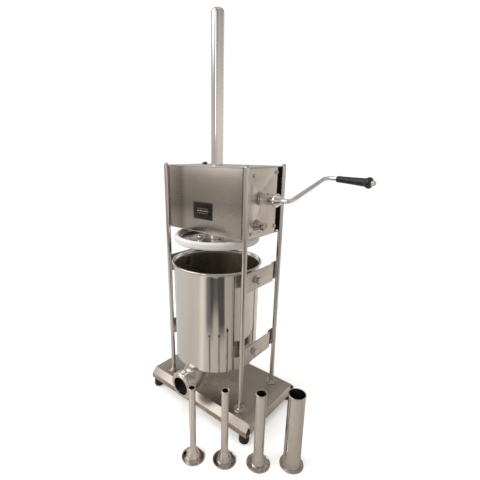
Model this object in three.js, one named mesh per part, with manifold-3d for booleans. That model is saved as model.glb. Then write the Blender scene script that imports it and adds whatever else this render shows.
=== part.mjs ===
// Vertical sausage stuffer with a two-speed gearbox, a removable piston, a tilting canister and a set of four stuffing tubes.
// Millimetres, +Z up. The origin is on the bench, at the middle of the footprint of the whole set, so that it can be stood on a counter by its origin.
// The outlet faces -Y and the crank is on the +X side. Positions below are counted from the point of the bench midway between the four posts; the last lines move the set over its origin.
import * as THREE from "three";
import { mergeVertices } from "three/addons/utils/BufferGeometryUtils.js";
import Module from "manifold-3d";

const wasm = await Module();
wasm.setup();

// ---------------------------------------------------------------- driving dimensions
const GAP = 0.3; // clearance left between pieces that touch
// frame
const POST_X = 126.4, POST_Y = 72.9, POST_R = 6; // post centres and radius
const BASE_TOP = 55, BASE_LOW = 23.5, BASE_X = 176.5, BASE_Y = 115.7, BASE_FLAT_Y = 99.7, BASE_T = 2;
const FOOT_X = 163, FOOT_Y = 103, FOOT_R = 13;
const POST_FLANGE_R = 16.5;
// gear housing
const HOUSE_LOW = 496.7, HOUSE_TOP = 653.9, SHEET = 1.5, PLATE = 2;
const HOUSE_X = 126.4, HOUSE_Y = 72.9, NOTCH_X = 117, NOTCH_Y = 62;
// canister
const AXIS_Y = -22; // canister, piston and rack share this vertical axis
const CAN_R = 110, CAN_WALL = 1.5, CAN_FLOOR = 151.7, CAN_RIM = 419, CAN_BEAD_R = 116;
const SPOUT_R = 29, SPOUT_BORE = 26, SPOUT_Y0 = -100, SPOUT_Z = 109, SPOUT_END = -156.5;
// crossbars and their pins
const BAR_H = 47, BAR_UP_Z = 369.5, BAR_LOW_Z = 175.5, BAR_T = 3;
const LOCK_Z = 393, PIVOT_Z = 199;
// piston
const PISTON_R = 107.5, PISTON_LOW = 470.5, PISTON_H = 18;
// rack and gears
const ROD_R = 14.5, ROD_TOP = 977;
const RACK_M = 2.75, PINION_Z = 12; // rack pinion: module and teeth
const GEAR_M = 2, UPPER_Z = 11, LARGE_Z = 30; // reduction pair
const FAST_M = 3, FAST_Z = 14; // one-to-one pair
const BACKLASH = 0.12; // taken off each flank
const PRESSURE = (20 * Math.PI) / 180;
const RACK_TIP_Y = AXIS_Y + 13.8;
const RACK_PITCH_Y = RACK_TIP_Y - RACK_M;
const PINION_Y = RACK_PITCH_Y + (RACK_M * PINION_Z) / 2;
const UPPER_Y = -18, UPPER_ZC = 585;
const C1 = (GEAR_M * (UPPER_Z + LARGE_Z)) / 2;
const PINION_ZC = UPPER_ZC - Math.sqrt(C1 * C1 - (PINION_Y - UPPER_Y) ** 2);
const LOWER_Y = -28;
const C2 = FAST_M * FAST_Z;
const LOWER_ZC = PINION_ZC - Math.sqrt(C2 * C2 - (PINION_Y - LOWER_Y) ** 2);
const SHAFT_R = 8, STUB_R = 9.3, RUN = 0.35; // shaft radii and running clearance
// crank
const CRANK_ANGLE = (14 * Math.PI) / 180; // the arm's direction, from +Y towards +Z
const ARM_R = 5, ARM_X = 200.5, GRIP_TILT = (-10.9 * Math.PI) / 180, GRIP_START = [230, 166], GRIP_LEN = 84;
// stuffing tubes: x, y, tube radius at the foot and at the mouth
const TUBE_H = 191, TUBE_FLANGE_R = 27.3, TUBE_WALL = 1.2;
const TUBES = [
  ["nozzle_small", 100.3, -216.8, 7.6, 7.6],
  ["nozzle_medium", 160.9, -175.4, 8.2, 8.2],
  ["nozzle_large", 225.0, -131.4, 11.4, 11.6],
  ["nozzle_extra_large", 283.3, -82.4, 19.4, 18.6],
];

// ---------------------------------------------------------------- finishes
const steel = { color: 0x9c948a, roughness: 0.35, metalness: 1 };
const brightSteel = { color: 0xc9c6c1, roughness: 0.12, metalness: 1 };
const chrome = { color: 0xd8d8da, roughness: 0.08, metalness: 1 };
const gearSteel = { color: 0x77787a, roughness: 0.45, metalness: 1 };
const bronze = { color: 0xa8803c, roughness: 0.4, metalness: 1 };
const black = { color: 0x1a1a1a, roughness: 0.6, metalness: 0 };
const silicone = { color: 0xd6d8d8, roughness: 0.5, metalness: 0 };

// ---------------------------------------------------------------- geometry helpers
const root = new THREE.Group();
const fromBench = new THREE.Group(); // positions inside this group start at the bench, midway between the posts
root.add(fromBench);

function bare(geometry) {
  // positions only, shared vertices merged, faces turned to point out
  const g = geometry.index ? geometry.toNonIndexed() : geometry.clone();
  const only = new THREE.BufferGeometry().setAttribute("position", g.getAttribute("position"));
  const merged = mergeVertices(only, 1e-3);
  const idx = merged.index.array, pos = merged.getAttribute("position").array;
  const keep = [];
  let six = 0;
  for (let i = 0; i < idx.length; i += 3) {
    const [a, b, c] = [idx[i], idx[i + 1], idx[i + 2]];
    if (a === b || b === c || a === c) continue;
    keep.push(a, b, c);
    const [ax, ay, az] = pos.slice(3 * a, 3 * a + 3);
    const [bx, by, bz] = pos.slice(3 * b, 3 * b + 3);
    const [cx, cy, cz] = pos.slice(3 * c, 3 * c + 3);
    six += ax * (by * cz - bz * cy) + ay * (bz * cx - bx * cz) + az * (bx * cy - by * cx);
  }
  if (six < 0) for (let i = 0; i < keep.length; i += 3) [keep[i + 1], keep[i + 2]] = [keep[i + 2], keep[i + 1]];
  merged.setIndex(keep);
  return merged;
}
const toSolid = (g) => {
  const b = bare(g);
  return new wasm.Manifold(new wasm.Mesh({ numProp: 3, vertProperties: b.getAttribute("position").array, triVerts: new Uint32Array(b.index.array) }));
};
const fromSolid = (s) => {
  const m = s.getMesh();
  return new THREE.BufferGeometry()
    .setAttribute("position", new THREE.BufferAttribute(new Float32Array(m.vertProperties), 3))
    .setIndex(new THREE.BufferAttribute(new Uint32Array(m.triVerts), 1));
};
const join = (...gs) => fromSolid(gs.map(toSolid).reduce((a, b) => a.add(b)));
const cut = (g, ...tools) => fromSolid(tools.map(toSolid).reduce((a, b) => a.subtract(b), toSolid(g)));
const moved = (g, x, y, z) => g.clone().translate(x, y, z);

// A lathe about +Z of [radius, height] points; it closes on itself when neither end is on the axis.
function lathe(points, segments = 24) {
  const pts = points.map(([r, z]) => new THREE.Vector2(r, z));
  if (points[0][0] > 0 || points.at(-1)[0] > 0) pts.push(pts[0].clone());
  return bare(new THREE.LatheGeometry(pts, segments).rotateX(Math.PI / 2));
}
// The same about +X (height runs along +X) and about -Y (height runs along -Y), through a given centre.
const latheX = (points, y, z, segments) => lathe(points, segments).rotateY(Math.PI / 2).translate(0, y, z);
const latheY = (points, x, z, segments) => lathe(points, segments).rotateX(Math.PI / 2).translate(x, 0, z);
const rod = (r, z0, z1, seg = 20) => lathe([[0, z0], [r, z0], [r, z1], [0, z1]], seg);
const rodX = (r, x0, x1, y, z, seg = 20) => rod(r, x0, x1, seg).rotateY(Math.PI / 2).translate(0, y, z);
const box = (x0, x1, y0, y1, z0, z1) => bare(new THREE.BoxGeometry(x1 - x0, y1 - y0, z1 - z0).translate((x0 + x1) / 2, (y0 + y1) / 2, (z0 + z1) / 2));
function shape(points) {
  return new THREE.Shape(points.map(([a, b]) => new THREE.Vector2(a, b)));
}
// An outline in XY raised along Z, and an outline in YZ run along X.
const prismZ = (points, z0, z1) => bare(new THREE.ExtrudeGeometry(shape(points), { depth: z1 - z0, bevelEnabled: false }).translate(0, 0, z0));
const prismX = (points, x0, x1) =>
  bare(new THREE.ExtrudeGeometry(shape(points), { depth: x1 - x0, bevelEnabled: false })
    .applyMatrix4(new THREE.Matrix4().set(0, 0, 1, x0, 1, 0, 0, 0, 0, 1, 0, 0, 0, 0, 0, 1)));
// A folded sheet: a centre line of outer points, offset by the thickness to its left, as a closed outline.
function folded(points, t) {
  const n = points.length, inner = [];
  for (let i = 0; i < n; i++) {
    const p = points[i], a = points[Math.max(i - 1, 0)], b = points[Math.min(i + 1, n - 1)];
    const dir = (u, v) => { const d = [v[0] - u[0], v[1] - u[1]], l = Math.hypot(...d) || 1; return [d[0] / l, d[1] / l]; };
    const d1 = i > 0 ? dir(a, p) : dir(p, b), d2 = i < n - 1 ? dir(p, b) : dir(a, p);
    const n1 = [-d1[1], d1[0]], n2 = [-d2[1], d2[0]];
    const k = 1 + n1[0] * n2[0] + n1[1] * n2[1];
    inner.push([p[0] + (t * (n1[0] + n2[0])) / k, p[1] + (t * (n1[1] + n2[1])) / k]);
  }
  return [...points, ...inner.reverse()];
}
// A curve given by stations, used as an extrusion path with rings only where they are needed.
class Stations extends THREE.Curve {
  constructor(points) { super(); this.points = points; }
  getPoint(t, target = new THREE.Vector3()) {
    const f = t * (this.points.length - 1), i = Math.min(Math.floor(f + 1e-9), this.points.length - 2);
    return target.copy(this.points[i]).lerp(this.points[i + 1], f - i);
  }
  getPointAt(t, target) { return this.getPoint(t, target); }
  getTangentAt(t, target = new THREE.Vector3()) {
    const n = this.points.length - 1, i = Math.round(t * n);
    const a = this.points[Math.max(i - 1, 0)], b = this.points[Math.min(i + 1, n)], p = this.points[i];
    const d1 = i > 0 ? p.clone().sub(a).normalize() : null, d2 = i < n ? b.clone().sub(p).normalize() : null;
    return target.copy(d1 && d2 ? d1.add(d2).normalize() : d1 || d2);
  }
  getSpacedPoints(n) { return this.points.map((p) => p.clone()); }
}
function sweep(points, radius, sides = 12) {
  const path = new Stations(points);
  const ring = shape(Array.from({ length: sides }, (_, i) => [radius * Math.cos((2 * Math.PI * i) / sides), radius * Math.sin((2 * Math.PI * i) / sides)]));
  return bare(new THREE.ExtrudeGeometry(ring, { steps: points.length - 1, bevelEnabled: false, extrudePath: path }));
}
// A path through corners, each rounded with the given radius.
function rounded(corners, radius, steps = 5) {
  const out = [corners[0].clone()];
  for (let i = 1; i < corners.length - 1; i++) {
    const p = corners[i], a = corners[i - 1].clone().sub(p).normalize(), b = corners[i + 1].clone().sub(p).normalize();
    const half = a.angleTo(b) / 2, back = radius / Math.tan(half);
    const centre = p.clone().add(a.clone().add(b).normalize().multiplyScalar(radius / Math.sin(half)));
    const s = p.clone().add(a.clone().multiplyScalar(back)).sub(centre), e = p.clone().add(b.clone().multiplyScalar(back)).sub(centre);
    const axis = s.clone().cross(e).normalize(), sweepAngle = s.angleTo(e);
    for (let k = 0; k <= steps; k++) out.push(centre.clone().add(s.clone().applyAxisAngle(axis, (sweepAngle * k) / steps)));
  }
  out.push(corners.at(-1).clone());
  return out;
}
function piece(name, geometry, finish) {
  const mesh = new THREE.Mesh(bare(geometry), new THREE.MeshStandardMaterial(finish));
  mesh.geometry.computeVertexNormals();
  mesh.name = name;
  fromBench.add(mesh);
  return mesh;
}

// ---------------------------------------------------------------- gear teeth
// The half width, as an angle, of the tooth space at radius r, for a gear generated by a straight-sided rack cutter.
function spaceAt(teeth, m, r) {
  const rp = (m * teeth) / 2, p = Math.PI * m;
  const isCut = (phi) => {
    for (let s = -60; s <= 60; s++) {
      const th = (s / 60) * 0.75;
      const h = r * Math.cos(phi + th) - rp;
      if (h < -1.25 * m) continue;
      let u = r * Math.sin(phi + th) - rp * th;
      u -= Math.round(u / p) * p;
      if (Math.abs(u) < p / 4 + h * Math.tan(PRESSURE) + BACKLASH) return true;
    }
    return false;
  };
  let lo = 0, hi = Math.PI / teeth;
  if (!isCut(0)) return 0;
  let best = 0;
  for (let k = 1; k <= 200; k++) if (isCut((hi * k) / 200)) best = (hi * k) / 200;
  return best + lo;
}
// The outline of a gear with a tooth space centred on angle 0.
function gearOutline(teeth, m) {
  const rp = (m * teeth) / 2;
  const levels = [rp - 1.24 * m, rp - 0.5 * m, rp + 0.3 * m, rp + 0.98 * m];
  const half = levels.map((r) => spaceAt(teeth, m, r));
  half[0] = Math.min(half[0], half[1] * 0.8);
  const pts = [];
  for (let k = 0; k < teeth; k++) {
    const c = (2 * Math.PI * k) / teeth;
    for (let i = 3; i >= 0; i--) pts.push([levels[i] * Math.cos(c - half[i]), levels[i] * Math.sin(c - half[i])]);
    for (let i = 0; i <= 3; i++) pts.push([levels[i] * Math.cos(c + half[i]), levels[i] * Math.sin(c + half[i])]);
  }
  return pts;
}
// A spur gear on the X axis through (y, z). phase is the angle, from +Y towards +Z, of a tooth space.
function gear(teeth, m, phase, bore, x0, x1, y, z) {
  const pts = gearOutline(teeth, m).map(([a, b]) => [
    y + a * Math.cos(phase) - b * Math.sin(phase),
    z + a * Math.sin(phase) + b * Math.cos(phase),
  ]);
  return cut(prismX(pts, x0, x1), rodX(bore, x0 - 1, x1 + 1, y, z, 16));
}

// ---------------------------------------------------------------- base, feet and posts
{
  const outer = [
    [86, BASE_LOW], [BASE_Y, BASE_LOW], [BASE_Y, BASE_TOP - (BASE_Y - BASE_FLAT_Y)], [BASE_FLAT_Y, BASE_TOP],
    [-BASE_FLAT_Y, BASE_TOP], [-BASE_Y, BASE_TOP - (BASE_Y - BASE_FLAT_Y)], [-BASE_Y, BASE_LOW], [-86, BASE_LOW],
  ];
  const pan = prismX(folded(outer, BASE_T), -BASE_X, BASE_X);
  const flange = (s) => box(...(s > 0 ? [BASE_X - BASE_T, BASE_X] : [-BASE_X, -BASE_X + BASE_T]), -96, 96, BASE_LOW, BASE_TOP - 0.5);
  piece("base_plate", join(pan, flange(1), flange(-1)), steel);
}
const corners = [["front_left", -1, -1], ["front_right", 1, -1], ["rear_left", -1, 1], ["rear_right", 1, 1]];
for (const [where, sx, sy] of corners) {
  piece("foot_" + where, lathe([[0, 0], [11.5, 0], [FOOT_R, 2.5], [FOOT_R - 0.5, BASE_LOW - GAP], [0, BASE_LOW - GAP]], 18), black)
    .position.set(sx * FOOT_X, sy * FOOT_Y, 0);
  // each post is one bar with a domed foot flange and a rounded top
  piece("post_" + where, lathe([
    [0, BASE_TOP + GAP], [POST_FLANGE_R, BASE_TOP + GAP], [POST_FLANGE_R, BASE_TOP + 2.5], [11.5, BASE_TOP + 6],
    [POST_R, BASE_TOP + 7.5], [POST_R, 654.5], [4.4, 657.4], [0, 658.6],
  ], 16), brightSteel).position.set(sx * POST_X, sy * POST_Y, 0);
}

// ---------------------------------------------------------------- crossbars, pivot pins and lock screws
for (const [side, s] of [["right", 1], ["left", -1]]) {
  // the bar butts on the front post and its bent rear end runs inside the rear post
  const mirror = (pts) => (s > 0 ? pts : pts.map(([x, y]) => [-x, y]).reverse());
  const outline = folded([[126.4, -66.3], [126.4, 53], [119.9, 53], [119.9, 77]], BAR_T).map(([x, y]) => [x, y]);
  const bar = (z) => prismZ(mirror(outline), z, z + BAR_H);
  const hole = (r, z) => (s > 0 ? rodX(r, 110, 135, AXIS_Y, z, 16) : rodX(r, -135, -110, AXIS_Y, z, 16));
  piece("crossbar_upper_" + side, cut(bar(BAR_UP_Z), hole(4.4, LOCK_Z)), steel);
  piece("crossbar_lower_" + side, cut(bar(BAR_LOW_Z), hole(6.35, PIVOT_Z)), steel);
  const turn = (g) => (s > 0 ? g : g.rotateZ(Math.PI).translate(0, 2 * AXIS_Y, 0));
  piece("pivot_pin_" + side, turn(latheX([[0, 112], [6, 112], [6, 126.7], [11, 126.7], [11, 128.2], [9, 128.6], [9, 134], [7, 136.5], [0, 137.5]], AXIS_Y, PIVOT_Z, 14)), brightSteel);
  piece("lock_screw_" + side, turn(latheX([[0, 111.8], [4, 111.8], [4, 126.7], [11, 126.7], [11, 128.2], [9, 128.6], [9, 137], [7, 139.5], [0, 140.5]], AXIS_Y, LOCK_Z, 14)), brightSteel);
}

// ---------------------------------------------------------------- canister with its outlet elbow
{
  const zf = CAN_FLOOR, zr = CAN_RIM, n = 32;
  const at = (g) => moved(g, 0, AXIS_Y, 0);
  const shell = at(lathe([[0, zf], [CAN_R - 2, zf], [CAN_R, zf + 2], [CAN_R, zr - 9], [CAN_BEAD_R, zr - 4.5], [CAN_BEAD_R, zr - 1.5], [CAN_BEAD_R - 2, zr], [0, zr]], n));
  const cavity = at(lathe([[0, zf + 2], [CAN_R - CAN_WALL - 2, zf + 2], [CAN_R - CAN_WALL, zf + 4], [CAN_R - CAN_WALL, zr - 7], [CAN_R + 1.8, zr - 1.5], [CAN_R + 1.8, zr + 5], [0, zr + 5]], n));
  const bend = zf - SPOUT_Z, path = (top, end) => {
    const pts = [new THREE.Vector3(0, SPOUT_Y0, top)];
    for (let k = 0; k <= 5; k++) {
      const a = ((Math.PI / 2) * k) / 5;
      pts.push(new THREE.Vector3(0, SPOUT_Y0 - bend + bend * Math.cos(a), zf - bend * Math.sin(a)));
    }
    pts.push(new THREE.Vector3(0, end, SPOUT_Z));
    return pts;
  };
  const elbow = sweep(path(zf + 1.5, SPOUT_END), SPOUT_R, 16);
  const bore = sweep(path(zf + 3, SPOUT_END - 2), SPOUT_BORE, 16);
  // trunnion bosses on the pivot line, and slotted lugs that the lock screws hold, open towards the front
  const boss = (s) => cut(rodX(14, s > 0 ? 108 : -122, s > 0 ? 122 : -108, AXIS_Y, PIVOT_Z, 20), rodX(6.4, s > 0 ? 111.5 : -130, s > 0 ? 130 : -111.5, AXIS_Y, PIVOT_Z, 16));
  const lug = (s) => cut(
    box(s > 0 ? 107 : -116.5, s > 0 ? 116.5 : -107, AXIS_Y - 14, AXIS_Y + 12, LOCK_Z - 12, LOCK_Z + 12),
    box(s > 0 ? 111.2 : -120, s > 0 ? 120 : -111.2, AXIS_Y - 20, AXIS_Y + 4.6, LOCK_Z - 4.8, LOCK_Z + 4.8));
  const body = toSolid(shell).add(toSolid(elbow)).add(toSolid(boss(1))).add(toSolid(boss(-1))).add(toSolid(lug(1))).add(toSolid(lug(-1)));
  piece("canister", fromSolid(body.subtract(toSolid(cavity)).subtract(toSolid(bore))), brightSteel);
  // ring nut with grip lobes, round the end of the elbow
  const lobes = [];
  for (let i = 0; i < 36; i++) {
    const a = (2 * Math.PI * i) / 36, r = 33.4 + 2.4 * Math.max(0, Math.cos(6 * a)) ** 0.7;
    lobes.push([r * Math.cos(a), r * Math.sin(a)]);
  }
  const nutBody = prismZ(lobes, 0, 22);
  const nut = cut(nutBody, rod(30, -1, 17.5, 24), rod(23.7, 10, 30, 24));
  piece("outlet_nut", nut.rotateX(Math.PI / 2).translate(0, SPOUT_END + 17.2, SPOUT_Z), steel);
}

// ---------------------------------------------------------------- piston on the rack
{
  const z = PISTON_LOW, n = 32;
  const at = (m) => m.position.set(0, AXIS_Y, 0);
  at(piece("piston_gasket", lathe([[97, z], [105.5, z], [PISTON_R, z + 3], [PISTON_R, z + PISTON_H - 4], [104.5, z + PISTON_H], [99, z + PISTON_H], [97, z + PISTON_H - 2]], n), silicone));
  // dished plate with an upturned rim, a centre hole for the rack's spigot and a hole for the air valve
  const plate = lathe([[0, z + 2.5], [96.7, z + 2.5], [96.7, z + 15], [94.7, z + 15], [94.7, z + 5], [0, z + 5]], n);
  piece("piston_disc", cut(moved(plate, 0, AXIS_Y, 0), moved(rod(8.3, z, z + 9, 16), 0, AXIS_Y, 0), moved(rod(5.35, z, z + 9, 16), -6, -76, 0)), steel);
  at(piece("piston_nut", lathe([[ROD_R + GAP, z + 5.3], [20, z + 5.3], [20, z + 17], [17.5, z + 19.5], [ROD_R + GAP, z + 19.5]], 18), chrome));
  at(piece("piston_bolt", lathe([[0, z - 2.5], [9, z - 2.5], [11, z - 0.5], [11, z + 2.2], [8, z + 2.2], [8, z + 5.2], [0, z + 5.2]], 16), brightSteel));
  // air valve: a stem through the plate with a button above it and a seat below it
  piece("air_valve", lathe([[0, z - 3], [7, z - 3], [7, z - 1.3], [5, z - 1.3], [5, z + 5.3], [8, z + 5.3], [8, z + 17], [6.5, z + 19], [0, z + 19]], 14), chrome).position.set(-6, -76, 0);
  // rack: a round bar with teeth along its rear face
  const p = Math.PI * RACK_M, lo = -3, hi = 43;
  const root_y = RACK_PITCH_Y - 1.25 * RACK_M, far = AXIS_Y + ROD_R + 4;
  const wide = (y) => p / 4 + BACKLASH + (y - RACK_PITCH_Y) * Math.tan(PRESSURE);
  const comb = [[far, PINION_ZC + lo * p - p * 0.45]];
  for (let k = lo; k <= hi; k++) {
    const c = PINION_ZC + k * p;
    comb.push([RACK_TIP_Y, k === lo ? c - p * 0.45 : c - wide(RACK_TIP_Y)]);
    comb.push([root_y, c - wide(root_y)], [root_y, c + wide(root_y)], [RACK_TIP_Y, k === hi ? c + p * 0.45 : c + wide(RACK_TIP_Y)]);
  }
  comb.push([far, PINION_ZC + hi * p + p * 0.45]);
  const bar = moved(lathe([[0, z + 5.5], [ROD_R, z + 5.5], [ROD_R, ROD_TOP - 7], [ROD_R - 1.8, ROD_TOP - 3], [ROD_R - 5.5, ROD_TOP - 0.6], [0, ROD_TOP]], 18), 0, AXIS_Y, 0);
  piece("rack_rod", cut(bar, prismX(comb, -20, 20)), chrome);
}

// ---------------------------------------------------------------- gear housing
{
  const notched = (() => {
    const q = [[HOUSE_X, -NOTCH_Y], [HOUSE_X, NOTCH_Y], [NOTCH_X, NOTCH_Y], [NOTCH_X, HOUSE_Y], [-NOTCH_X, HOUSE_Y], [-NOTCH_X, NOTCH_Y], [-HOUSE_X, NOTCH_Y],
      [-HOUSE_X, -NOTCH_Y], [-NOTCH_X, -NOTCH_Y], [-NOTCH_X, -HOUSE_Y], [NOTCH_X, -HOUSE_Y], [NOTCH_X, -NOTCH_Y]];
    return q;
  })();
  const rodHole = moved(rod(ROD_R + 0.6, HOUSE_LOW - 5, HOUSE_TOP + 5, 20), 0, AXIS_Y, 0);
  piece("housing_bottom", cut(prismZ(notched, HOUSE_LOW, HOUSE_LOW + PLATE), rodHole), steel);
  piece("housing_top", cut(prismZ(notched, HOUSE_TOP - PLATE, HOUSE_TOP), rodHole), steel);
  const z0 = HOUSE_LOW + PLATE + GAP, z1 = HOUSE_TOP - PLATE - GAP;
  // front and rear panels are bent round towards each other beside the posts
  const face = folded([[-NOTCH_X, -NOTCH_Y - GAP], [-NOTCH_X, -HOUSE_Y], [NOTCH_X, -HOUSE_Y], [NOTCH_X, -NOTCH_Y - GAP]], SHEET);
  piece("housing_front", prismZ(face, z0, z1), steel);
  piece("housing_rear", prismZ(face.map(([x, y]) => [-x, -y]), z0, z1), steel);
  // side panels have a joggled rear edge that leaves a recess beside the rear post
  const side = folded([[112, -NOTCH_Y + GAP], [HOUSE_X, -NOTCH_Y + GAP], [HOUSE_X, 48.5], [112, 48.5], [112, NOTCH_Y - GAP]], SHEET);
  const right = prismZ(side, z0, z1);
  const left = prismZ(side.map(([x, y]) => [-x, y]).reverse(), z0, z1);
  const screwAt = [["front_upper", -45, 636], ["front_lower", -51, 509], ["rear_upper", 43.5, 641], ["rear_lower", 43.5, 514]];
  piece("housing_side_right", cut(right,
    rodX(12.3, 115, 135, UPPER_Y, UPPER_ZC, 20), rodX(11.3, 115, 135, LOWER_Y, LOWER_ZC, 20),
    ...screwAt.map(([, y, z]) => rodX(2.3, 120, 135, y, z, 8))), steel);
  piece("housing_side_left", left, steel);
  for (const [name, y, z] of screwAt)
    piece("side_screw_" + name, latheX([[0, 118], [2, 118], [2, 126.7], [4.4, 126.7], [4.2, 128.4], [2.6, 129.6], [0, 130]], y, z, 10), brightSteel);
  piece("name_plate", box(-30.5, 30.5, -HOUSE_Y - 1.3, -HOUSE_Y - GAP, 530, 570.7), black);
  piece("filler_plug", lathe([[0, HOUSE_TOP + GAP], [7, HOUSE_TOP + GAP], [7, HOUSE_TOP + 1.6], [5.4, HOUSE_TOP + 4.2], [2.6, HOUSE_TOP + 5.4], [0, HOUSE_TOP + 5.8]], 14), black).position.set(-86, 26, 0);
  // bearing plates stand between the housing's floor and lid
  const plate = (x0, x1) => box(x0, x1, -50, 44, z0, z1);
  const run = (r, y, z, x0, x1) => rodX(r, x0 - 1, x1 + 1, y, z, 16);
  piece("bearing_plate_left", cut(plate(-64, -60), run(SHAFT_R + RUN, PINION_Y, PINION_ZC, -64, -60)), gearSteel);
  piece("bearing_plate_inner", cut(plate(44, 48), run(SHAFT_R + RUN, PINION_Y, PINION_ZC, 44, 48), run(5.5 + RUN, UPPER_Y, UPPER_ZC, 44, 48)), gearSteel);
  piece("bearing_plate_outer", cut(plate(94, 98), run(SHAFT_R + RUN, PINION_Y, PINION_ZC, 94, 98), run(STUB_R + RUN, UPPER_Y, UPPER_ZC, 94, 98), run(STUB_R + RUN, LOWER_Y, LOWER_ZC, 94, 98)), gearSteel);
  // flanged bushes where the input shafts leave the housing
  piece("bush_upper_shaft", latheX([[STUB_R + RUN, 116], [12, 116], [12, 126.7], [14, 126.7], [14, 130.2], [STUB_R + RUN, 130.2]], UPPER_Y, UPPER_ZC, 16), bronze);
  piece("bush_lower_shaft", latheX([[STUB_R + RUN, 116], [11, 116], [11, 126.7], [12.6, 126.7], [12.6, 129.4], [STUB_R + RUN, 129.4]], LOWER_Y, LOWER_ZC, 16), bronze);
  // guide bushes that keep the rack upright
  const guide = (a, b, f0, f1) => lathe(f0 < f1 ? [[ROD_R + GAP, a], [23, a], [23, a + 3], [19, a + 3], [19, b], [ROD_R + GAP, b]] : [[ROD_R + GAP, a], [19, a], [19, b - 3], [23, b - 3], [23, b], [ROD_R + GAP, b]], 16);
  piece("guide_bush_lower", moved(guide(z0, z0 + 13, 0, 1), 0, AXIS_Y, 0), bronze);
  piece("guide_bush_upper", moved(guide(z1 - 13, z1, 1, 0), 0, AXIS_Y, 0), bronze);
}

// ---------------------------------------------------------------- gear train
{
  const towards = (y0, z0, y1, z1) => Math.atan2(z1 - z0, y1 - y0);
  // rack pinion and its shaft; one pinion tooth points at a rack space
  piece("rack_pinion", gear(PINION_Z, RACK_M, Math.PI + Math.PI / PINION_Z, SHAFT_R + GAP, -14, 14, PINION_Y, PINION_ZC), gearSteel);
  piece("pinion_shaft", rodX(SHAFT_R, -68, 101, PINION_Y, PINION_ZC, 16), brightSteel);
  // reduction pair
  const b1 = towards(UPPER_Y, UPPER_ZC, PINION_Y, PINION_ZC);
  piece("upper_gear", gear(UPPER_Z, GEAR_M, b1 + Math.PI / UPPER_Z, 5.8, 53, 67, UPPER_Y, UPPER_ZC), gearSteel);
  piece("large_gear", gear(LARGE_Z, GEAR_M, b1 + Math.PI, SHAFT_R + GAP, 54, 66, PINION_Y, PINION_ZC), gearSteel);
  // one-to-one pair for the quick return
  const b2 = towards(LOWER_Y, LOWER_ZC, PINION_Y, PINION_ZC);
  piece("lower_gear", gear(FAST_Z, FAST_M, b2 + Math.PI / FAST_Z, SHAFT_R + GAP, 74, 84, LOWER_Y, LOWER_ZC), gearSteel);
  piece("fast_gear", gear(FAST_Z, FAST_M, b2 + Math.PI, SHAFT_R + GAP, 74, 84, PINION_Y, PINION_ZC), gearSteel);
  piece("upper_shaft", latheX([[0, 40], [5.5, 40], [5.5, 90], [STUB_R, 90], [STUB_R, 165.7], [0, 165.7]], UPPER_Y, UPPER_ZC, 16), brightSteel);
  piece("lower_shaft", cut(latheX([[0, 70], [SHAFT_R, 70], [SHAFT_R, 90], [STUB_R, 90], [STUB_R, 149], [STUB_R - 1.2, 150.2], [0, 150.2]], LOWER_Y, LOWER_ZC, 16),
    box(133, 152, LOWER_Y - 12, LOWER_Y + 12, LOWER_ZC + 6.8, LOWER_ZC + 12)), brightSteel);
}

// ---------------------------------------------------------------- crank
{
  const c = Math.cos(CRANK_ANGLE), s = Math.sin(CRANK_ANGLE);
  const at = (x, r) => new THREE.Vector3(x, UPPER_Y + r * c, UPPER_ZC + r * s);
  piece("crank_hub", latheX([[STUB_R + GAP, 131], [12.6, 131], [12.6, 163], [15, 164], [15, 168.5], [7.5, 181], [ARM_R + GAP, 181], [ARM_R + GAP, 166.2], [STUB_R + GAP, 166.2]], UPPER_Y, UPPER_ZC, 16), brightSteel);
  const dir = new THREE.Vector3(Math.cos(GRIP_TILT), Math.sin(GRIP_TILT) * c, Math.sin(GRIP_TILT) * s);
  const start = at(...GRIP_START);
  const corner = at(ARM_X, GRIP_START[1] - (GRIP_START[0] - ARM_X) * Math.tan(GRIP_TILT));
  const arm = sweep(rounded([at(166.6, 0), at(ARM_X, 0), corner, start], 13, 4), ARM_R, 10);
  const along = (g) => {
    const q = new THREE.Quaternion().setFromUnitVectors(new THREE.Vector3(0, 0, 1), dir);
    return g.applyQuaternion(q).translate(start.x, start.y, start.z);
  };
  piece("crank_arm", join(arm, along(rod(3.6, -2, GRIP_LEN + 6, 12))), chrome);
  piece("crank_grip", along(lathe([[4, 0.4], [7, 0.4], [8, 2.5], [7.6, 12], [8.2, 35], [9, 60], [9.4, 72], [12.5, 76], [13, 79], [12.5, 82.5], [10, GRIP_LEN], [4, GRIP_LEN]], 14)), black);
  piece("grip_nut", along(lathe([[3.9, GRIP_LEN + 0.4], [6.5, GRIP_LEN + 0.4], [6.5, GRIP_LEN + 6], [5, GRIP_LEN + 9], [0, GRIP_LEN + 10], [0, GRIP_LEN + 6.4], [3.9, GRIP_LEN + 6.4]], 12)), chrome);
}

// ---------------------------------------------------------------- stuffing tubes, standing on their flanges
for (const [name, x, y, r0, r1] of TUBES) {
  const w = TUBE_WALL, f = TUBE_FLANGE_R, s = Math.max(r0 + 2.8, 17);
  // a flat foot flange with a raised edge, a bell that narrows to the tube, and a rolled mouth
  piece(name, lathe([
    [f, 0], [f, 2.6], [f - 2.8, 2.1], [s + 0.6, 2.1], [s - 0.2 * (s - r0), 9], [r0, 27], [r1, TUBE_H - 3], [r1 + 0.9, TUBE_H],
    [r1 - w, TUBE_H], [r0 - w, 25.5], [s - 0.2 * (s - r0) - 1.5, 8], [s - 0.6, 0.7], [f - 2, 0],
  ], 16), brightSteel).position.set(x, y, 0);
}

// ---------------------------------------------------------------- origin: the middle of the footprint, on the bench
root.updateMatrixWorld(true);
const extent = new THREE.Box3().setFromObject(root, true);
fromBench.position.set(-(extent.min.x + extent.max.x) / 2, -(extent.min.y + extent.max.y) / 2, -extent.min.z);

export default root;
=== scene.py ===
import math

import bmesh
import bpy
import numpy as np
from mathutils import Matrix, Vector


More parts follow.
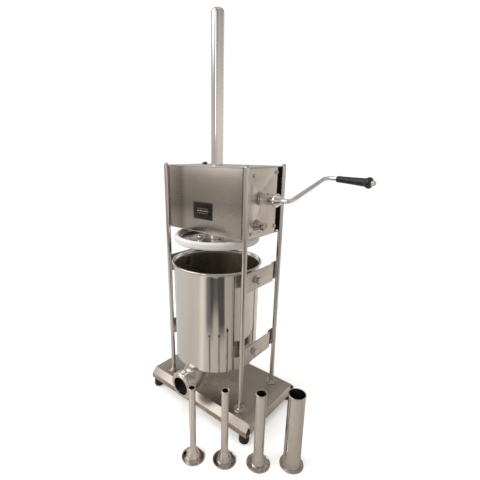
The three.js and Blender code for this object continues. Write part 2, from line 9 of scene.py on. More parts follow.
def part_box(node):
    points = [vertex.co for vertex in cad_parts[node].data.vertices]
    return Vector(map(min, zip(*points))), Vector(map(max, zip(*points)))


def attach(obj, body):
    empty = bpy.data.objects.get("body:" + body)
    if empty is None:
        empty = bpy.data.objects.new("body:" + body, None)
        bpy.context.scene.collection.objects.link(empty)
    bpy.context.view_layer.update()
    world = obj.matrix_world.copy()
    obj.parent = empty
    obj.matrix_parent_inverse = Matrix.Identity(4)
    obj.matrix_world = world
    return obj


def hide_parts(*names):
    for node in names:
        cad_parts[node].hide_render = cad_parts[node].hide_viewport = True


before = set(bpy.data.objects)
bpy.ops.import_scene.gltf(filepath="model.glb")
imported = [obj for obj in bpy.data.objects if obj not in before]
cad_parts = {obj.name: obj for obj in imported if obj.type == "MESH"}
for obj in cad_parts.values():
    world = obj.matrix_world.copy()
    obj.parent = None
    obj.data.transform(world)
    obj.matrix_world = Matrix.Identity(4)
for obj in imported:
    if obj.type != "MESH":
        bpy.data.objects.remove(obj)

MM = 0.001
TAU = 2 * math.pi
BENCH = -55.0
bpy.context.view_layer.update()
base_low, base_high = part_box("base_plate")
DATUM = Vector(((base_low.x + base_high.x) / 2, (base_low.y + base_high.y) / 2, base_high.z))


# ------------------------------------------------------------------ shapes
def soften(points, closed=False, steps=5):
    """A polyline of (u, v) or (u, v, radius) points; a corner with a radius becomes an arc."""
    n, out = len(points), []
    for i, p in enumerate(points):
        r = p[2] if len(p) > 2 else 0.0
        if r <= 0 or (not closed and i in (0, n - 1)):
            out.append((float(p[0]), float(p[1])))
            continue
        P = np.array(p[:2], float)
        A = np.array(points[i - 1][:2], float) - P
        B = np.array(points[(i + 1) % n][:2], float) - P
        la, lb = np.linalg.norm(A), np.linalg.norm(B)
        A, B = A / la, B / lb
        half = math.acos(float(np.clip(A @ B, -1, 1))) / 2
        if half < 1e-3 or abs(half - math.pi / 2) < 1e-3:
            out.append((float(P[0]), float(P[1])))
            continue
        back = min(r / math.tan(half), la * 0.49, lb * 0.49)
        re = back * math.tan(half)
        C = P + (A + B) / np.linalg.norm(A + B) * re / math.sin(half)
        s, e = P + A * back - C, P + B * back - C
        a0, a1 = math.atan2(s[1], s[0]), math.atan2(e[1], e[0])
        d = (a1 - a0 + math.pi) % TAU - math.pi
        for k in range(steps + 1):
            t = a0 + d * k / steps
            out.append((float(C[0] + re * math.cos(t)), float(C[1] + re * math.sin(t))))
    return out


def basis(axis, ref=None):
    w = Vector(axis).normalized()
    if ref is None:
        ref = Vector((1, 0, 0)) if abs(w.x) < 0.9 else Vector((0, 1, 0))
    u = (Vector(ref) - w * w.dot(Vector(ref))).normalized()
    return u, w.cross(u), w


def revolve(profile, n=64, origin=(0, 0, 0), axis=(0, 0, 1), ref=None, shape=None):
    """Revolves (radius, height) points. It closes on itself when neither end is on the axis. shape(r, h, angle) may change the radius."""
    u, v, w = basis(axis, ref)
    o = Vector(origin)
    rings, verts, faces = [], [], []
    for r, h in profile:
        if r < 1e-6:
            rings.append([len(verts)])
            verts.append(o + w * h)
        else:
            start = len(verts)
            for k in range(n):
                t = TAU * k / n
                rr = shape(r, h, t) if shape else r
                verts.append(o + u * (rr * math.cos(t)) + v * (rr * math.sin(t)) + w * h)
            rings.append(list(range(start, start + n)))
    pairs = list(zip(rings, rings[1:]))
    if len(rings[0]) > 1 or len(rings[-1]) > 1:
        pairs.append((rings[-1], rings[0]))
    for a, b in pairs:
        if len(a) == 1 and len(b) == 1:
            continue
        for k in range(n):
            j = (k + 1) % n
            if len(a) == 1:
                faces.append((a[0], b[j], b[k]))
            elif len(b) == 1:
                faces.append((a[k], a[j], b[0]))
            else:
                faces.append((a[k], a[j], b[j], b[k]))
    return verts, faces


def tube(path, radius, sides=32, inner=None):
    """A round bar along a path, or a pipe when inner is given."""
    P = [Vector(p) for p in path]
    n = len(P)
    tang = []
    for i in range(n):
        a = (P[i] - P[i - 1]).normalized() if i else (P[1] - P[0]).normalized()
        b = (P[i + 1] - P[i]).normalized() if i < n - 1 else a
        tang.append((a + b).normalized())
    u, v, _ = basis(tang[0])
    verts, rings, inner_rings = [], [], []
    for i in range(n):
        if i:
            q = tang[i - 1].rotation_difference(tang[i])
            u, v = q @ u, q @ v
        for r, store in ((radius, rings), (inner, inner_rings)):
            if r is None:
                continue
            store.append(list(range(len(verts), len(verts) + sides)))
            for k in range(sides):
                t = TAU * k / sides
                verts.append(P[i] + u * (r * math.cos(t)) + v * (r * math.sin(t)))
    faces = []

    def skin(a, b):
        for k in range(sides):
            j = (k + 1) % sides
            faces.append((a[k], a[j], b[j], b[k]))

    for a, b in zip(rings, rings[1:]):
        skin(a, b)
    if inner is None:
        faces.append(tuple(reversed(rings[0])))
        faces.append(tuple(rings[-1]))
    else:
        for a, b in zip(inner_rings, inner_rings[1:]):
            skin(b, a)
        skin(inner_rings[0], rings[0])
        skin(rings[-1], inner_rings[-1])
    return verts, faces


def rounded_path(corners, radius, steps=12):
    out = [Vector(corners[0])]
    for i in range(1, len(corners) - 1):
        p = Vector(corners[i])
        a, b = (Vector(corners[i - 1]) - p).normalized(), (Vector(corners[i + 1]) - p).normalized()
        half = a.angle(b) / 2
        back = radius / math.tan(half)
        c = p + (a + b).normalized() * (radius / math.sin(half))
        s, e = p + a * back - c, p + b * back - c
        ax = s.cross(e).normalized()
        ang = s.angle(e)
        for k in range(steps + 1):
            out.append(c + Matrix.Rotation(ang * k / steps, 3, ax) @ s)
    out.append(Vector(corners[-1]))
    return out


def prism(outline, lo, hi, axis="z"):
    """A closed outline raised along an axis: z takes (x, y) points, x takes (y, z) points, y takes (x, z) points."""
    n = len(outline)
    place = {"z": lambda a, b, h: (a, b, h), "x": lambda a, b, h: (h, a, b), "y": lambda a, b, h: (a, h, b)}[axis]
    verts = [Vector(place(a, b, lo)) for a, b in outline] + [Vector(place(a, b, hi)) for a, b in outline]
    faces = [tuple(range(n)), tuple(range(2 * n - 1, n - 1, -1))]
    faces += [(i, i + n, (i + 1) % n + n, (i + 1) % n) for i in range(n)]
    return verts, faces


def sheet(points, t, r):
    """The outline of a bent sheet of thickness t: outer points, bends of radius r, thickness to the left of the line."""
    line = soften([points[0]] + [(*p, r) for p in points[1:-1]] + [points[-1]], steps=7)
    n, inner = len(line), []
    for i in range(n):
        a, p, b = np.array(line[max(i - 1, 0)]), np.array(line[i]), np.array(line[min(i + 1, n - 1)])
        d1 = p - a if i else b - p
        d2 = b - p if i < n - 1 else p - a
        d1, d2 = d1 / np.linalg.norm(d1), d2 / np.linalg.norm(d2)
        n1, n2 = np.array([-d1[1], d1[0]]), np.array([-d2[1], d2[0]])
        inner.append(tuple(p + t * (n1 + n2) / (1 + n1 @ n2)))
    return line + inner[::-1]


def block(x0, x1, y0, y1, z0, z1):
    return prism([(x0, y0), (x1, y0), (x1, y1), (x0, y1)], z0, z1)


def merge(*parts):
    verts, faces = [], []
    for v, f in parts:
        k = len(verts)
        verts += list(v)
        faces += [tuple(i + k for i in g) for g in f]
    return verts, faces


def mirrored(part):
    v, f = part
    return [Vector((-p.x, p.y, p.z)) for p in v], [tuple(reversed(g)) for g in f]


def turned(part, matrix):
    v, f = part
    return [matrix @ p for p in v], f


# ------------------------------------------------------------------ objects
def mesh_of(name, part):
    verts, faces = part
    me = bpy.data.meshes.new(name)
    me.from_pydata([tuple(Vector(v) * MM + DATUM) for v in verts], [], faces)
    bm = bmesh.new()
    bm.from_mesh(me)
    bmesh.ops.recalc_face_normals(bm, faces=bm.faces)
    bm.to_mesh(me)
    bm.free()
    me.update()
    return me


def bake(obj):
    """Turns the object's modifiers into mesh."""
    dg = bpy.context.evaluated_depsgraph_get()
    me = bpy.data.meshes.new_from_object(obj.evaluated_get(dg))
    obj.modifiers.clear()
    old = obj.data
    obj.data = me
    bpy.data.meshes.remove(old)


PIECES = {}


def make(name, part, body, finish, nodes=(), sharp=38, bevel=0.0, segments=2, cutters=(), angle=35):
    me = mesh_of(name, part)
    obj = bpy.data.objects.new(name, me)
    bpy.context.scene.collection.objects.link(obj)
    for c in cutters:
        tool = bpy.data.objects.new(name + "_tool", mesh_of(name + "_tool", c))
        bpy.context.scene.collection.objects.link(tool)
        m = obj.modifiers.new("cut", "BOOLEAN")
        m.operation, m.solver, m.object = "DIFFERENCE", "EXACT", tool
        bake(obj)
        bpy.data.objects.remove(tool)
    if bevel:
        m = obj.modifiers.new("edge", "BEVEL")
        m.width, m.segments, m.limit_method, m.angle_limit = bevel * MM, segments, "ANGLE", math.radians(angle)
        m.miter_outer = "MITER_ARC"
        m.use_clamp_overlap = True
        bake(obj)
    me = obj.data
    me.polygons.foreach_set("use_smooth", [True] * len(me.polygons))
    me.set_sharp_from_angle(angle=math.radians(sharp))
    me.materials.clear()
    me.materials.append(finish)
    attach(obj, body)
    if nodes:
        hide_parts(*nodes)
    PIECES[name] = obj
    return obj


# ------------------------------------------------------------------ finishes
class Shader:
    def __init__(self, name):
        self.mat = bpy.data.materials.new(name)
        self.mat.use_nodes = True
        self.nt = self.mat.node_tree
        self.nt.nodes.clear()
        self.co = self.node("ShaderNodeTexCoord").outputs["Object"]

    def node(self, kind, **props):
        n = self.nt.nodes.new(kind)
        for k, v in props.items():
            setattr(n, k, v)
        return n

    def set(self, socket, value):
        if isinstance(value, bpy.types.NodeSocket):
            self.nt.links.new(value, socket)
        else:
            socket.default_value = value

    def noise(self, scale, detail=3.0, rough=0.55, stretch=(1, 1, 1), distort=0.0, shift=(0, 0, 0)):
        m = self.node("ShaderNodeMapping")
        self.set(m.inputs["Vector"], self.co)
        m.inputs["Scale"].default_value = stretch
        m.inputs["Location"].default_value = shift
        n = self.node("ShaderNodeTexNoise")
        self.set(n.inputs["Vector"], m.outputs[0])
        n.inputs["Scale"].default_value = scale
        n.inputs["Detail"].default_value = detail
        n.inputs["Roughness"].default_value = rough
        n.inputs["Distortion"].default_value = distort
        return n.outputs[0]

    def span(self, value, lo, hi, a=0.0, b=1.0, smooth=False):
        n = self.node("ShaderNodeMapRange")
        n.clamp = True
        if smooth:
            n.interpolation_type = "SMOOTHSTEP"
        self.set(n.inputs["Value"], value)
        for k, v in (("From Min", lo), ("From Max", hi), ("To Min", a), ("To Max", b)):
            n.inputs[k].default_value = v
        return n.outputs[0]

    def math(self, op, a, b=0.0, c=None):
        n = self.node("ShaderNodeMath", operation=op)
        self.set(n.inputs[0], a)
        self.set(n.inputs[1], b)
        if c is not None:
            self.set(n.inputs[2], c)
        return n.outputs[0]

    def scale(self, colour, k):
        n = self.node("ShaderNodeVectorMath", operation="SCALE")
        self.set(n.inputs[0], colour)
        self.set(n.inputs["Scale"], k)
        return n.outputs[0]

    def mix(self, fac, a, b):
        n = self.node("ShaderNodeMix", data_type="RGBA")
        self.set(n.inputs[0], fac)
        self.set(n.inputs[6], a if isinstance(a, bpy.types.NodeSocket) else (*a, 1))
        self.set(n.inputs[7], b if isinstance(b, bpy.types.NodeSocket) else (*b, 1))
        return n.outputs[2]

    def bump(self, height, strength, distance, normal=None):
        n = self.node("ShaderNodeBump")
        n.inputs["Strength"].default_value = strength
        n.inputs["Distance"].default_value = distance
        self.set(n.inputs["Height"], height)
        if normal is not None:
            self.set(n.inputs["Normal"], normal)
        return n.outputs[0]

    def finish(self, **inputs):
        p = self.node("ShaderNodeBsdfPrincipled")
        for k, v in inputs.items():
            s = p.inputs[k.replace("_", " ")]
            if isinstance(v, tuple) and len(v) == 3 and s.type == "RGBA":
                v = (*v, 1)
            self.set(s, v)
        out = self.node("ShaderNodeOutputMaterial")
        self.nt.links.new(p.outputs[0], out.inputs[0])
        return self.mat


def metal(name, tint, rough, grain=(1, 1, 1), fine=900.0, grain_tone=0.05, grain_rough=0.06, bump=0.12, smudge=0.06, cloud=14.0,
          bands=None, light_ramp=None, aniso=0.0, tangent=None, scratches=0.10, patina=None):
    """A worked metal: a directional grain, soft cloudy handling marks, sparse hairline scratches, optional broad tonal
    bands and an optional ramp that paints lighter and darker reflection bands across world x.
    """
    s = Shader(name)
    g = s.noise(fine, 4.0, 0.65, grain)
    fine2 = s.noise(fine * 0.23, 2.0, 0.5, grain, shift=(0.3, 0.1, 0.7))
    m = s.noise(cloud, 3.0, 0.55, (1, 1, 1), 0.4)
    tone = s.math("MULTIPLY", s.span(g, 0.2, 0.8, 1 - grain_tone, 1 + grain_tone), s.span(m, 0.25, 0.75, 1 - smudge, 1 + smudge))
    tone = s.math("MULTIPLY", tone, s.span(fine2, 0.3, 0.7, 1 - grain_tone * 0.6, 1 + grain_tone * 0.6))
    if light_ramp:
        # painted reflection: soft upright lighter and darker bands at stated places across the sheet, laid along world
        # x
        x = s.node("ShaderNodeSeparateXYZ")
        s.set(x.inputs[0], s.node("ShaderNodeNewGeometry").outputs["Position"])
        lo, hi = light_ramp[0][0], light_ramp[-1][0]
        c = s.node("ShaderNodeValToRGB")
        c.color_ramp.interpolation = "B_SPLINE"
        s.set(c.inputs[0], s.span(x.outputs["X"], lo, hi))
        e = c.color_ramp.elements
        e[0].position, e[0].color = 0.0, (light_ramp[0][1] / 2,) * 3 + (1,)
        e[1].position, e[1].color = 1.0, (light_ramp[-1][1] / 2,) * 3 + (1,)
        for at_x, level in light_ramp[1:-1]:
            e.new((at_x - lo) / (hi - lo)).color = (level / 2,) * 3 + (1,)
        tone = s.math("MULTIPLY", tone, s.math("MULTIPLY", c.outputs[0], 2.0))
    if bands:
        scale, amount, stretch, shift = bands
        tone = s.math("MULTIPLY", tone, s.span(s.noise(scale, 1.5, 0.45, stretch, 0.0, shift), 0.3, 0.7, 1 - amount, 1 + amount, True))
    colour = s.scale(tint, tone)
    if patina:
        spots = s.span(s.noise(45.0, 4.0, 0.6, (1, 1, 1), 0.8, (3, 1, 2)), 0.55, 0.72, 0.0, 0.35, True)
        colour = s.mix(spots, colour, patina)
    hair = s.noise(260.0, 1.0, 0.4, (1.0, 0.06, 1.0), 0.6, (5, 2, 8))
    hair = s.span(s.math("ABSOLUTE", s.math("SUBTRACT", hair, 0.5)), 0.0, 0.006, 1.0, 0.0)
    keep = s.span(s.noise(22.0, 2.0, 0.5, (1, 1, 1), 0.0, (9, 4, 1)), 0.55, 0.7)
    hair = s.math("MULTIPLY", s.math("MULTIPLY", hair, keep), scratches)
    r = s.math("ADD", s.span(g, 0.2, 0.8, rough - grain_rough, rough + grain_rough), s.span(m, 0.3, 0.7, -0.04, 0.04))
    r = s.math("MAXIMUM", s.math("ADD", r, s.math("MULTIPLY", hair, 0.25)), 0.03)
    height = s.math("SUBTRACT", s.math("ADD", g, s.math("MULTIPLY", fine2, 0.6)), s.math("MULTIPLY", hair, 1.5))
    nrm = s.bump(height, bump, 0.00006)
    inputs = dict(Base_Color=colour, Metallic=1.0, Roughness=r, Normal=nrm)
    if aniso:
        inputs["Anisotropic"] = aniso
        t = s.node("ShaderNodeCombineXYZ") if tangent else s.node("ShaderNodeTangent", direction_type="RADIAL", axis="Z")
        if tangent:
            for i in range(3):
                t.inputs[i].default_value = tangent[i]
        inputs["Tangent"] = t.outputs[0]
    return s.finish(**inputs)


def moulded(name, tint, rough, grain=1500.0, bump=0.25, dust=None, cloud=30.0, tone=0.12, sss=0.0, streak=(1, 1, 1), shine=None):
    """Plastic, rubber or silicone: fine pitted skin, cloudy tone, pale dust in places."""
    s = Shader(name)
    g = s.noise(grain, 3.0, 0.6, streak)
    m = s.noise(cloud, 4.0, 0.6, (1, 1, 1), 0.5)
    colour = s.scale(tint, s.math("MULTIPLY", s.span(m, 0.3, 0.7, 1 - tone, 1 + tone), s.span(g, 0.3, 0.7, 0.96, 1.04)))
    if dust:
        colour = s.mix(s.span(s.noise(120.0, 5.0, 0.7, (1, 1, 1), 0.6, (2, 6, 4)), 0.52, 0.78, 0.0, dust[1], True), colour, dust[0])
    r = s.math("ADD", s.span(g, 0.3, 0.7, rough - 0.05, rough + 0.05), s.span(m, 0.3, 0.7, -0.06, 0.06))
    inputs = dict(Base_Color=colour, Metallic=0.0, Roughness=r, Normal=s.bump(g, bump, 0.00008))
    if shine is not None:
        inputs["Specular_IOR_Level"] = shine
    if sss:
        inputs["Subsurface_Weight"] = sss
        inputs["Subsurface_Radius"] = (0.004, 0.0035, 0.003)
    return s.finish(**inputs)


STEEL = (0.60, 0.557, 0.512)
# sheet metal: the tangent is the direction the reflections smear, across the brushing
# painted shade and reflection: the front and rear panels take a darker copy of the brushed steel that stands in for
# their shade, and the ramp paints lighter and darker reflection bands across them
steel_front_painted_light = metal("brushed_steel_front", (0.385, 0.355, 0.322), 0.26, grain=(0.012, 1, 1), light_ramp=((-0.192, 0.92), (-0.175, 0.80), (-0.150, 0.52), (-0.142, 0.56), (-0.130, 0.98), (-0.105, 0.92), (-0.07, 0.98), (-0.03, 1.10), (0.02, 1.02), (0.05, 0.90)), aniso=0.1, grain_tone=0.012, grain_rough=0.015, bump=0.02, smudge=0.03, fine=500.0, tangent=(0, 0, 1), cloud=7.0)
steel_side = metal("brushed_steel_side", (0.74, 0.69, 0.635), 0.31, grain=(1, 0.012, 1), bands=(12.0, 0.09, (0.02, 1, 0.05), (0, 0.2, 0)), aniso=0.2, tangent=(0, 0, 1), cloud=9.0, grain_tone=0.012, grain_rough=0.015, bump=0.02, fine=500.0)
steel_top = metal("brushed_steel_top", (0.64, 0.615, 0.585), 0.33, grain=(0.012, 1, 1), aniso=0.6, tangent=(0, 1, 0), cloud=9.0)
# painted highlight: the ramp makes the base about 30 % lighter from x = 0.088 m to its right-hand end, standing in for
# the reflection along that edge
steel_base_painted_highlight = metal("brushed_steel_base", (0.46, 0.415, 0.37), 0.29, grain=(0.012, 1, 1), grain_tone=0.012, grain_rough=0.015, bump=0.02, fine=500.0, tangent=(0, 1, 0), cloud=8.0, smudge=0.05, light_ramp=((-0.25, 1.02), (0.0, 1.0), (0.080, 1.0), (0.088, 1.30), (0.104, 1.32)))
steel_bar = metal("brushed_steel_bar", STEEL, 0.28, grain=(1, 0.012, 1), grain_tone=0.03, bump=0.07, aniso=0.4, tangent=(0, 0, 1), cloud=16.0, bands=(14.0, 0.10, (0.05, 1, 0.05), (0, 0.6, 0)))
steel_turned = metal("turned_steel", (0.64, 0.61, 0.575), 0.24, grain=(1, 1, 1), fine=1300.0, bump=0.08, cloud=40.0)
steel_tube = metal("satin_tube", (0.73, 0.695, 0.66), 0.17, grain=(1, 1, 0.01), fine=900.0, cloud=26.0, smudge=0.05, bump=0.04, grain_tone=0.02, grain_rough=0.03)
steel_post = metal("polished_post", (0.66, 0.63, 0.60), 0.17, grain=(1, 1, 0.008), fine=700.0, cloud=12.0, smudge=0.05, bump=0.05, grain_rough=0.03)
steel_mirror = metal("mirror_canister", (0.69, 0.665, 0.635), 0.085, grain=(1, 1, 0.006), fine=260.0, cloud=10.0, smudge=0.035, bump=0.035, grain_tone=0.02, grain_rough=0.02, scratches=0.15)
steel_inner = metal("canister_inside", (0.66, 0.61, 0.54), 0.30, grain=(1, 1, 0.01), fine=300.0, cloud=12.0, smudge=0.05, bump=0.02, grain_tone=0.015, grain_rough=0.02, bands=(13.0, 0.45, (1, 1, 0.02), (0.2, 0.1, 0)))
steel_elbow = metal("elbow_steel", (0.56, 0.53, 0.50), 0.30, fine=700.0, cloud=30.0, bump=0.03, grain_tone=0.02)
# painted shade: the elbow's bore is the same steel as its outside, made near-black to stand in for the shade inside the
# pipe
steel_bore_painted_shade = metal("elbow_bore_painted_shade", (0.17, 0.165, 0.16), 0.55, fine=900.0, cloud=40.0, bump=0.06)
steel_foot = metal("post_foot", (0.50, 0.465, 0.43), 0.20, fine=900.0, cloud=40.0, bump=0.03)
steel_spun = metal("spun_foot", (0.64, 0.605, 0.57), 0.10, fine=900.0, cloud=30.0, bump=0.02, grain_rough=0.02)
steel_weld = metal("ground_weld", (0.50, 0.475, 0.45), 0.38, fine=1500.0, bump=0.3, cloud=90.0, smudge=0.12)
polished = metal("polished_fitting", (0.68, 0.66, 0.64), 0.13, fine=1400.0, bump=0.05, cloud=45.0, grain_rough=0.03, scratches=0.4)
chrome = metal("chrome", (0.85, 0.85, 0.86), 0.07, fine=1200.0, bump=0.03, cloud=30.0, smudge=0.03, grain_tone=0.02, grain_rough=0.02, scratches=0.3)
# partly painted light: a copy of the chrome with its tint raised so that the crank hub and arm read lighter; its higher
# roughness is the satin finish
chrome_satin_painted_light = metal("chrome_satin_painted_light", (0.93, 0.93, 0.94), 0.17, fine=1200.0, bump=0.015, cloud=30.0, smudge=0.03, grain_tone=0.02, grain_rough=0.02, scratches=0.2)
chrome_rod = metal("chrome_rod", (0.80, 0.795, 0.80), 0.09, grain=(1, 1, 0.02), fine=600.0, bump=0.004, cloud=14.0, smudge=0.03, grain_tone=0.02, grain_rough=0.02, scratches=0.3)
gear_steel = metal("oiled_gear_steel", (0.36, 0.355, 0.35), 0.36, fine=1100.0, bump=0.18, cloud=55.0, smudge=0.15, patina=(0.20, 0.16, 0.11))
bronze = metal("sintered_bronze", (0.52, 0.36, 0.16), 0.38, fine=1800.0, bump=0.25, cloud=60.0, smudge=0.12, patina=(0.24, 0.15, 0.07))
grip_black = moulded("moulded_black_grip", (0.018, 0.018, 0.019), 0.42, grain=1600.0, bump=0.07, dust=((0.06, 0.06, 0.06), 0.06))
rubber = moulded("black_rubber", (0.022, 0.021, 0.021), 0.72, grain=1100.0, bump=0.4, dust=((0.16, 0.15, 0.14), 0.22))
plug_black = moulded("black_plug", (0.02, 0.02, 0.021), 0.35, grain=1500.0, bump=0.2, dust=((0.12, 0.12, 0.12), 0.12))
silicone = moulded("pale_silicone", (0.75, 0.75, 0.765), 0.42, grain=900.0, bump=0.12, cloud=18.0, tone=0.03, sss=0.12)
plate_black = moulded("anodised_plate", (0.012, 0.011, 0.010), 0.30, grain=2200.0, bump=0.10, cloud=50.0, tone=0.2, dust=((0.09, 0.085, 0.08), 0.10), shine=0.22)
# painted shadow: a near-black finish laid on faces in the gaps beside the posts, standing in for the shade there
painted_recess_shadow = moulded("recess_shadow", (0.030, 0.027, 0.025), 0.6, grain=1500.0, bump=0.15, shine=0.2)
plate_edge = moulded("plate_border", (0.06, 0.057, 0.054), 0.4, grain=1800.0, bump=0.1)
plate_light = metal("etched_motif", (0.62, 0.60, 0.58), 0.35, fine=1800.0, bump=0.1, cloud=60.0)


# ------------------------------------------------------------------ base, feet, posts
FLAT_Y, BASE_Y, BASE_X, LOW = 99.7, 115.7, 176.5, -31.5
pan = sheet([(86, LOW), (BASE_Y, LOW), (BASE_Y, -16), (FLAT_Y, 0), (-FLAT_Y, 0), (-BASE_Y, -16), (-BASE_Y, LOW), (-86, LOW)], 2.0, 3.0)
make("base_plate", prism(pan, -BASE_X, BASE_X, "x"), "frame", steel_base_painted_highlight, ["base_plate"], bevel=0.35)
for s, side in ((1, "right"), (-1, "left")):
    # the upright end flange, bent down from the top with its corners relieved
    end = [(-96, LOW), (96, LOW), (96, -4), (92, -0.5), (-92, -0.5), (-96, -4)]
    x0, x1 = (BASE_X - 2, BASE_X) if s > 0 else (-BASE_X, -BASE_X + 2)
    make("base_end_" + side, prism([(a, b) for a, b in end], x0, x1, "x"), "frame", steel_side, bevel=0.5, segments=3)
foot = soften([(0, BENCH), (11.4, BENCH, 1.2), (13.0, -50.5, 1.0), (13.0, -45, 0.8), (12.2, -43.6, 0.6), (12.6, -34.5, 1.0), (11.4, -31.8, 0.8), (0, -31.8)], steps=4)
post = soften([(0, 3.0), (6, 3.0), (6, 600.2, 1.5), (4.6, 602.6, 1.5), (0, 603.6)], steps=6)
post = [(0, 3.0), (6, 3.0), (6, 300), (6, 598.5)] + [(6 * math.cos(a), 598.5 + 5.1 * math.sin(a)) for a in np.linspace(0.12, math.pi / 2, 9)][:-1] + [(0, 603.6)]
flange = soften([(6.15, 0.3), (16.2, 0.3, 0.5), (16.5, 1.6, 0.8), (15.2, 3.0, 0.9), (13.2, 2.7, 0.6), (11.0, 3.1, 1.6), (8.6, 5.0, 1.6), (8.0, 7.5, 0.7), (6.15, 7.5, 0.3)], closed=True, steps=4)
for where, sx, sy in (("front_left", -1, -1), ("front_right", 1, -1), ("rear_left", -1, 1), ("rear_right", 1, 1)):
    make("foot_" + where, revolve(foot, 48, (sx * 163, sy * 103, 0)), "frame", rubber, ["foot_" + where])
    p = make("post_" + where, revolve(post, 40, (sx * 126.4, sy * 72.9, 0)), "frame", steel_post, ["post_" + where])
    make("post_flange_" + where, revolve(flange, 56, (sx * 126.4, sy * 72.9, 0)), "frame", steel_foot)


# ------------------------------------------------------------------ crossbars and their pins
def fluted(count, depth, lo, hi):
    return lambda r, h, t: r * (1 - depth * (0.5 - 0.5 * math.cos(count * t)) ** 2) if lo < h < hi and r > 5 else r


bar = [(126.4, -66.3), (126.4, 53), (119.9, 53), (119.9, 77)]
for s, side in ((1, "right"), (-1, "left")):
    for level, z in (("upper", 314.5), ("lower", 120.5)):
        part = prism(sheet(bar, 3.0, 3.6), z, z + 47)
        make(f"crossbar_{level}_{side}", part if s > 0 else mirrored(part), "frame", steel_bar, [f"crossbar_{level}_{side}"], bevel=0.5, segments=3)
    screw = soften([(0, 112), (5.8, 112, 0.5), (5.8, 126.7), (11, 126.7, 0.3), (11, 128.2, 0.5), (8.2, 128.2), (8.2, 129.2, 0.3), (9, 129.8, 0.5), (9, 134.6, 0.6), (7.6, 136.6, 0.8), (4.2, 137.5, 0.6), (3.2, 136.6, 0.2), (0, 136.6)], steps=3)
    make("pivot_pin_" + side, revolve(screw, 96, (0, -22, 144), (s, 0, 0), shape=fluted(16, 0.09, 129.4, 136)), "frame", polished, ["pivot_pin_" + side], sharp=32)
    lock = soften([(0, 111.8), (3.9, 111.8, 0.4), (3.9, 126.7), (11, 126.7, 0.3), (11, 128.2, 0.5), (7.2, 128.2), (7.2, 130.2, 0.3), (9, 131.0, 0.5), (9, 137.2, 0.6), (7.8, 139.4, 0.8), (4.2, 140.5, 0.6), (3.0, 139.4, 0.2), (0, 139.4)], steps=3)
    make("lock_screw_" + side, revolve(lock, 96, (0, -22, 338), (s, 0, 0), shape=fluted(16, 0.09, 130.4, 139)), "lock_screw_" + side, polished, ["lock_screw_" + side], sharp=32)

# ------------------------------------------------------------------ canister
AX = (0, -22, 0)
zf, zr = 96.7, 364.0
levels = [zf + 10 + k * 24 for k in range(11)]
outer = [(0, zf), (107.0, zf)] + [(107.0 + 3.0 * math.sin(a), zf + 3.0 - 3.0 * math.cos(a)) for a in np.linspace(0.2, math.pi / 2, 7)]
outer += [(110, z) for z in levels if z < zr - 12] + [(110, zr - 9.6), (110.25, zr - 8.6), (110.9, zr - 7.5), (111.9, zr - 6.5), (112.9, zr - 5.9)]
bead = [(113.2 + 2.75 * math.sin(a), zr - 2.9 - 2.8 * math.cos(a)) for a in np.linspace(0.35, math.pi - 0.3, 14)]
bead += [(113.2, zr - 0.1), (112.4, zr - 0.5), (111.9, zr - 1.5), (111.6, zr - 3.0), (110.9, zr - 4.8), (109.7, zr - 6.6), (108.8, zr - 7.8)]
inner = [(108.5, zr - 9)] + [(108.5, z) for z in reversed(levels) if z < zr - 12] + [(104.5 + 4.0 * math.cos(a), zf + 6.0 - 4.0 * math.sin(a)) for a in np.linspace(0, math.pi / 2, 7)] + [(0, zf + 2.0)]
drain = revolve([(0, zf - 5), (26, zf - 5), (26, zf + 12), (0, zf + 12)], 64, (0, -100, 0))
shell = make("canister", revolve(outer + bead + inner, 160, AX), "canister", steel_mirror, ["canister"], cutters=[drain], sharp=30)
shell.data.materials.append(steel_inner)
for p in shell.data.polygons:
    c = (p.center - DATUM) / MM
    if math.hypot(c.x, c.y + 22) < 108.8 and c.z > zf + 1.0 and c.z < zr - 8.5:
        p.material_index = 1
bend = zf - 54.0
curve = [(0, -100, zf + 1.0)] + [(0, -100 - bend + bend * math.cos(a), zf - bend * math.sin(a)) for a in np.linspace(0, math.pi / 2, 25)] + [(0, -150, 54), (0, -156.5, 54)]
elbow = make("outlet_elbow", tube(curve, 29.0, 72, 26.0), "canister", steel_elbow, sharp=50)
elbow.data.materials.append(steel_bore_painted_shade)
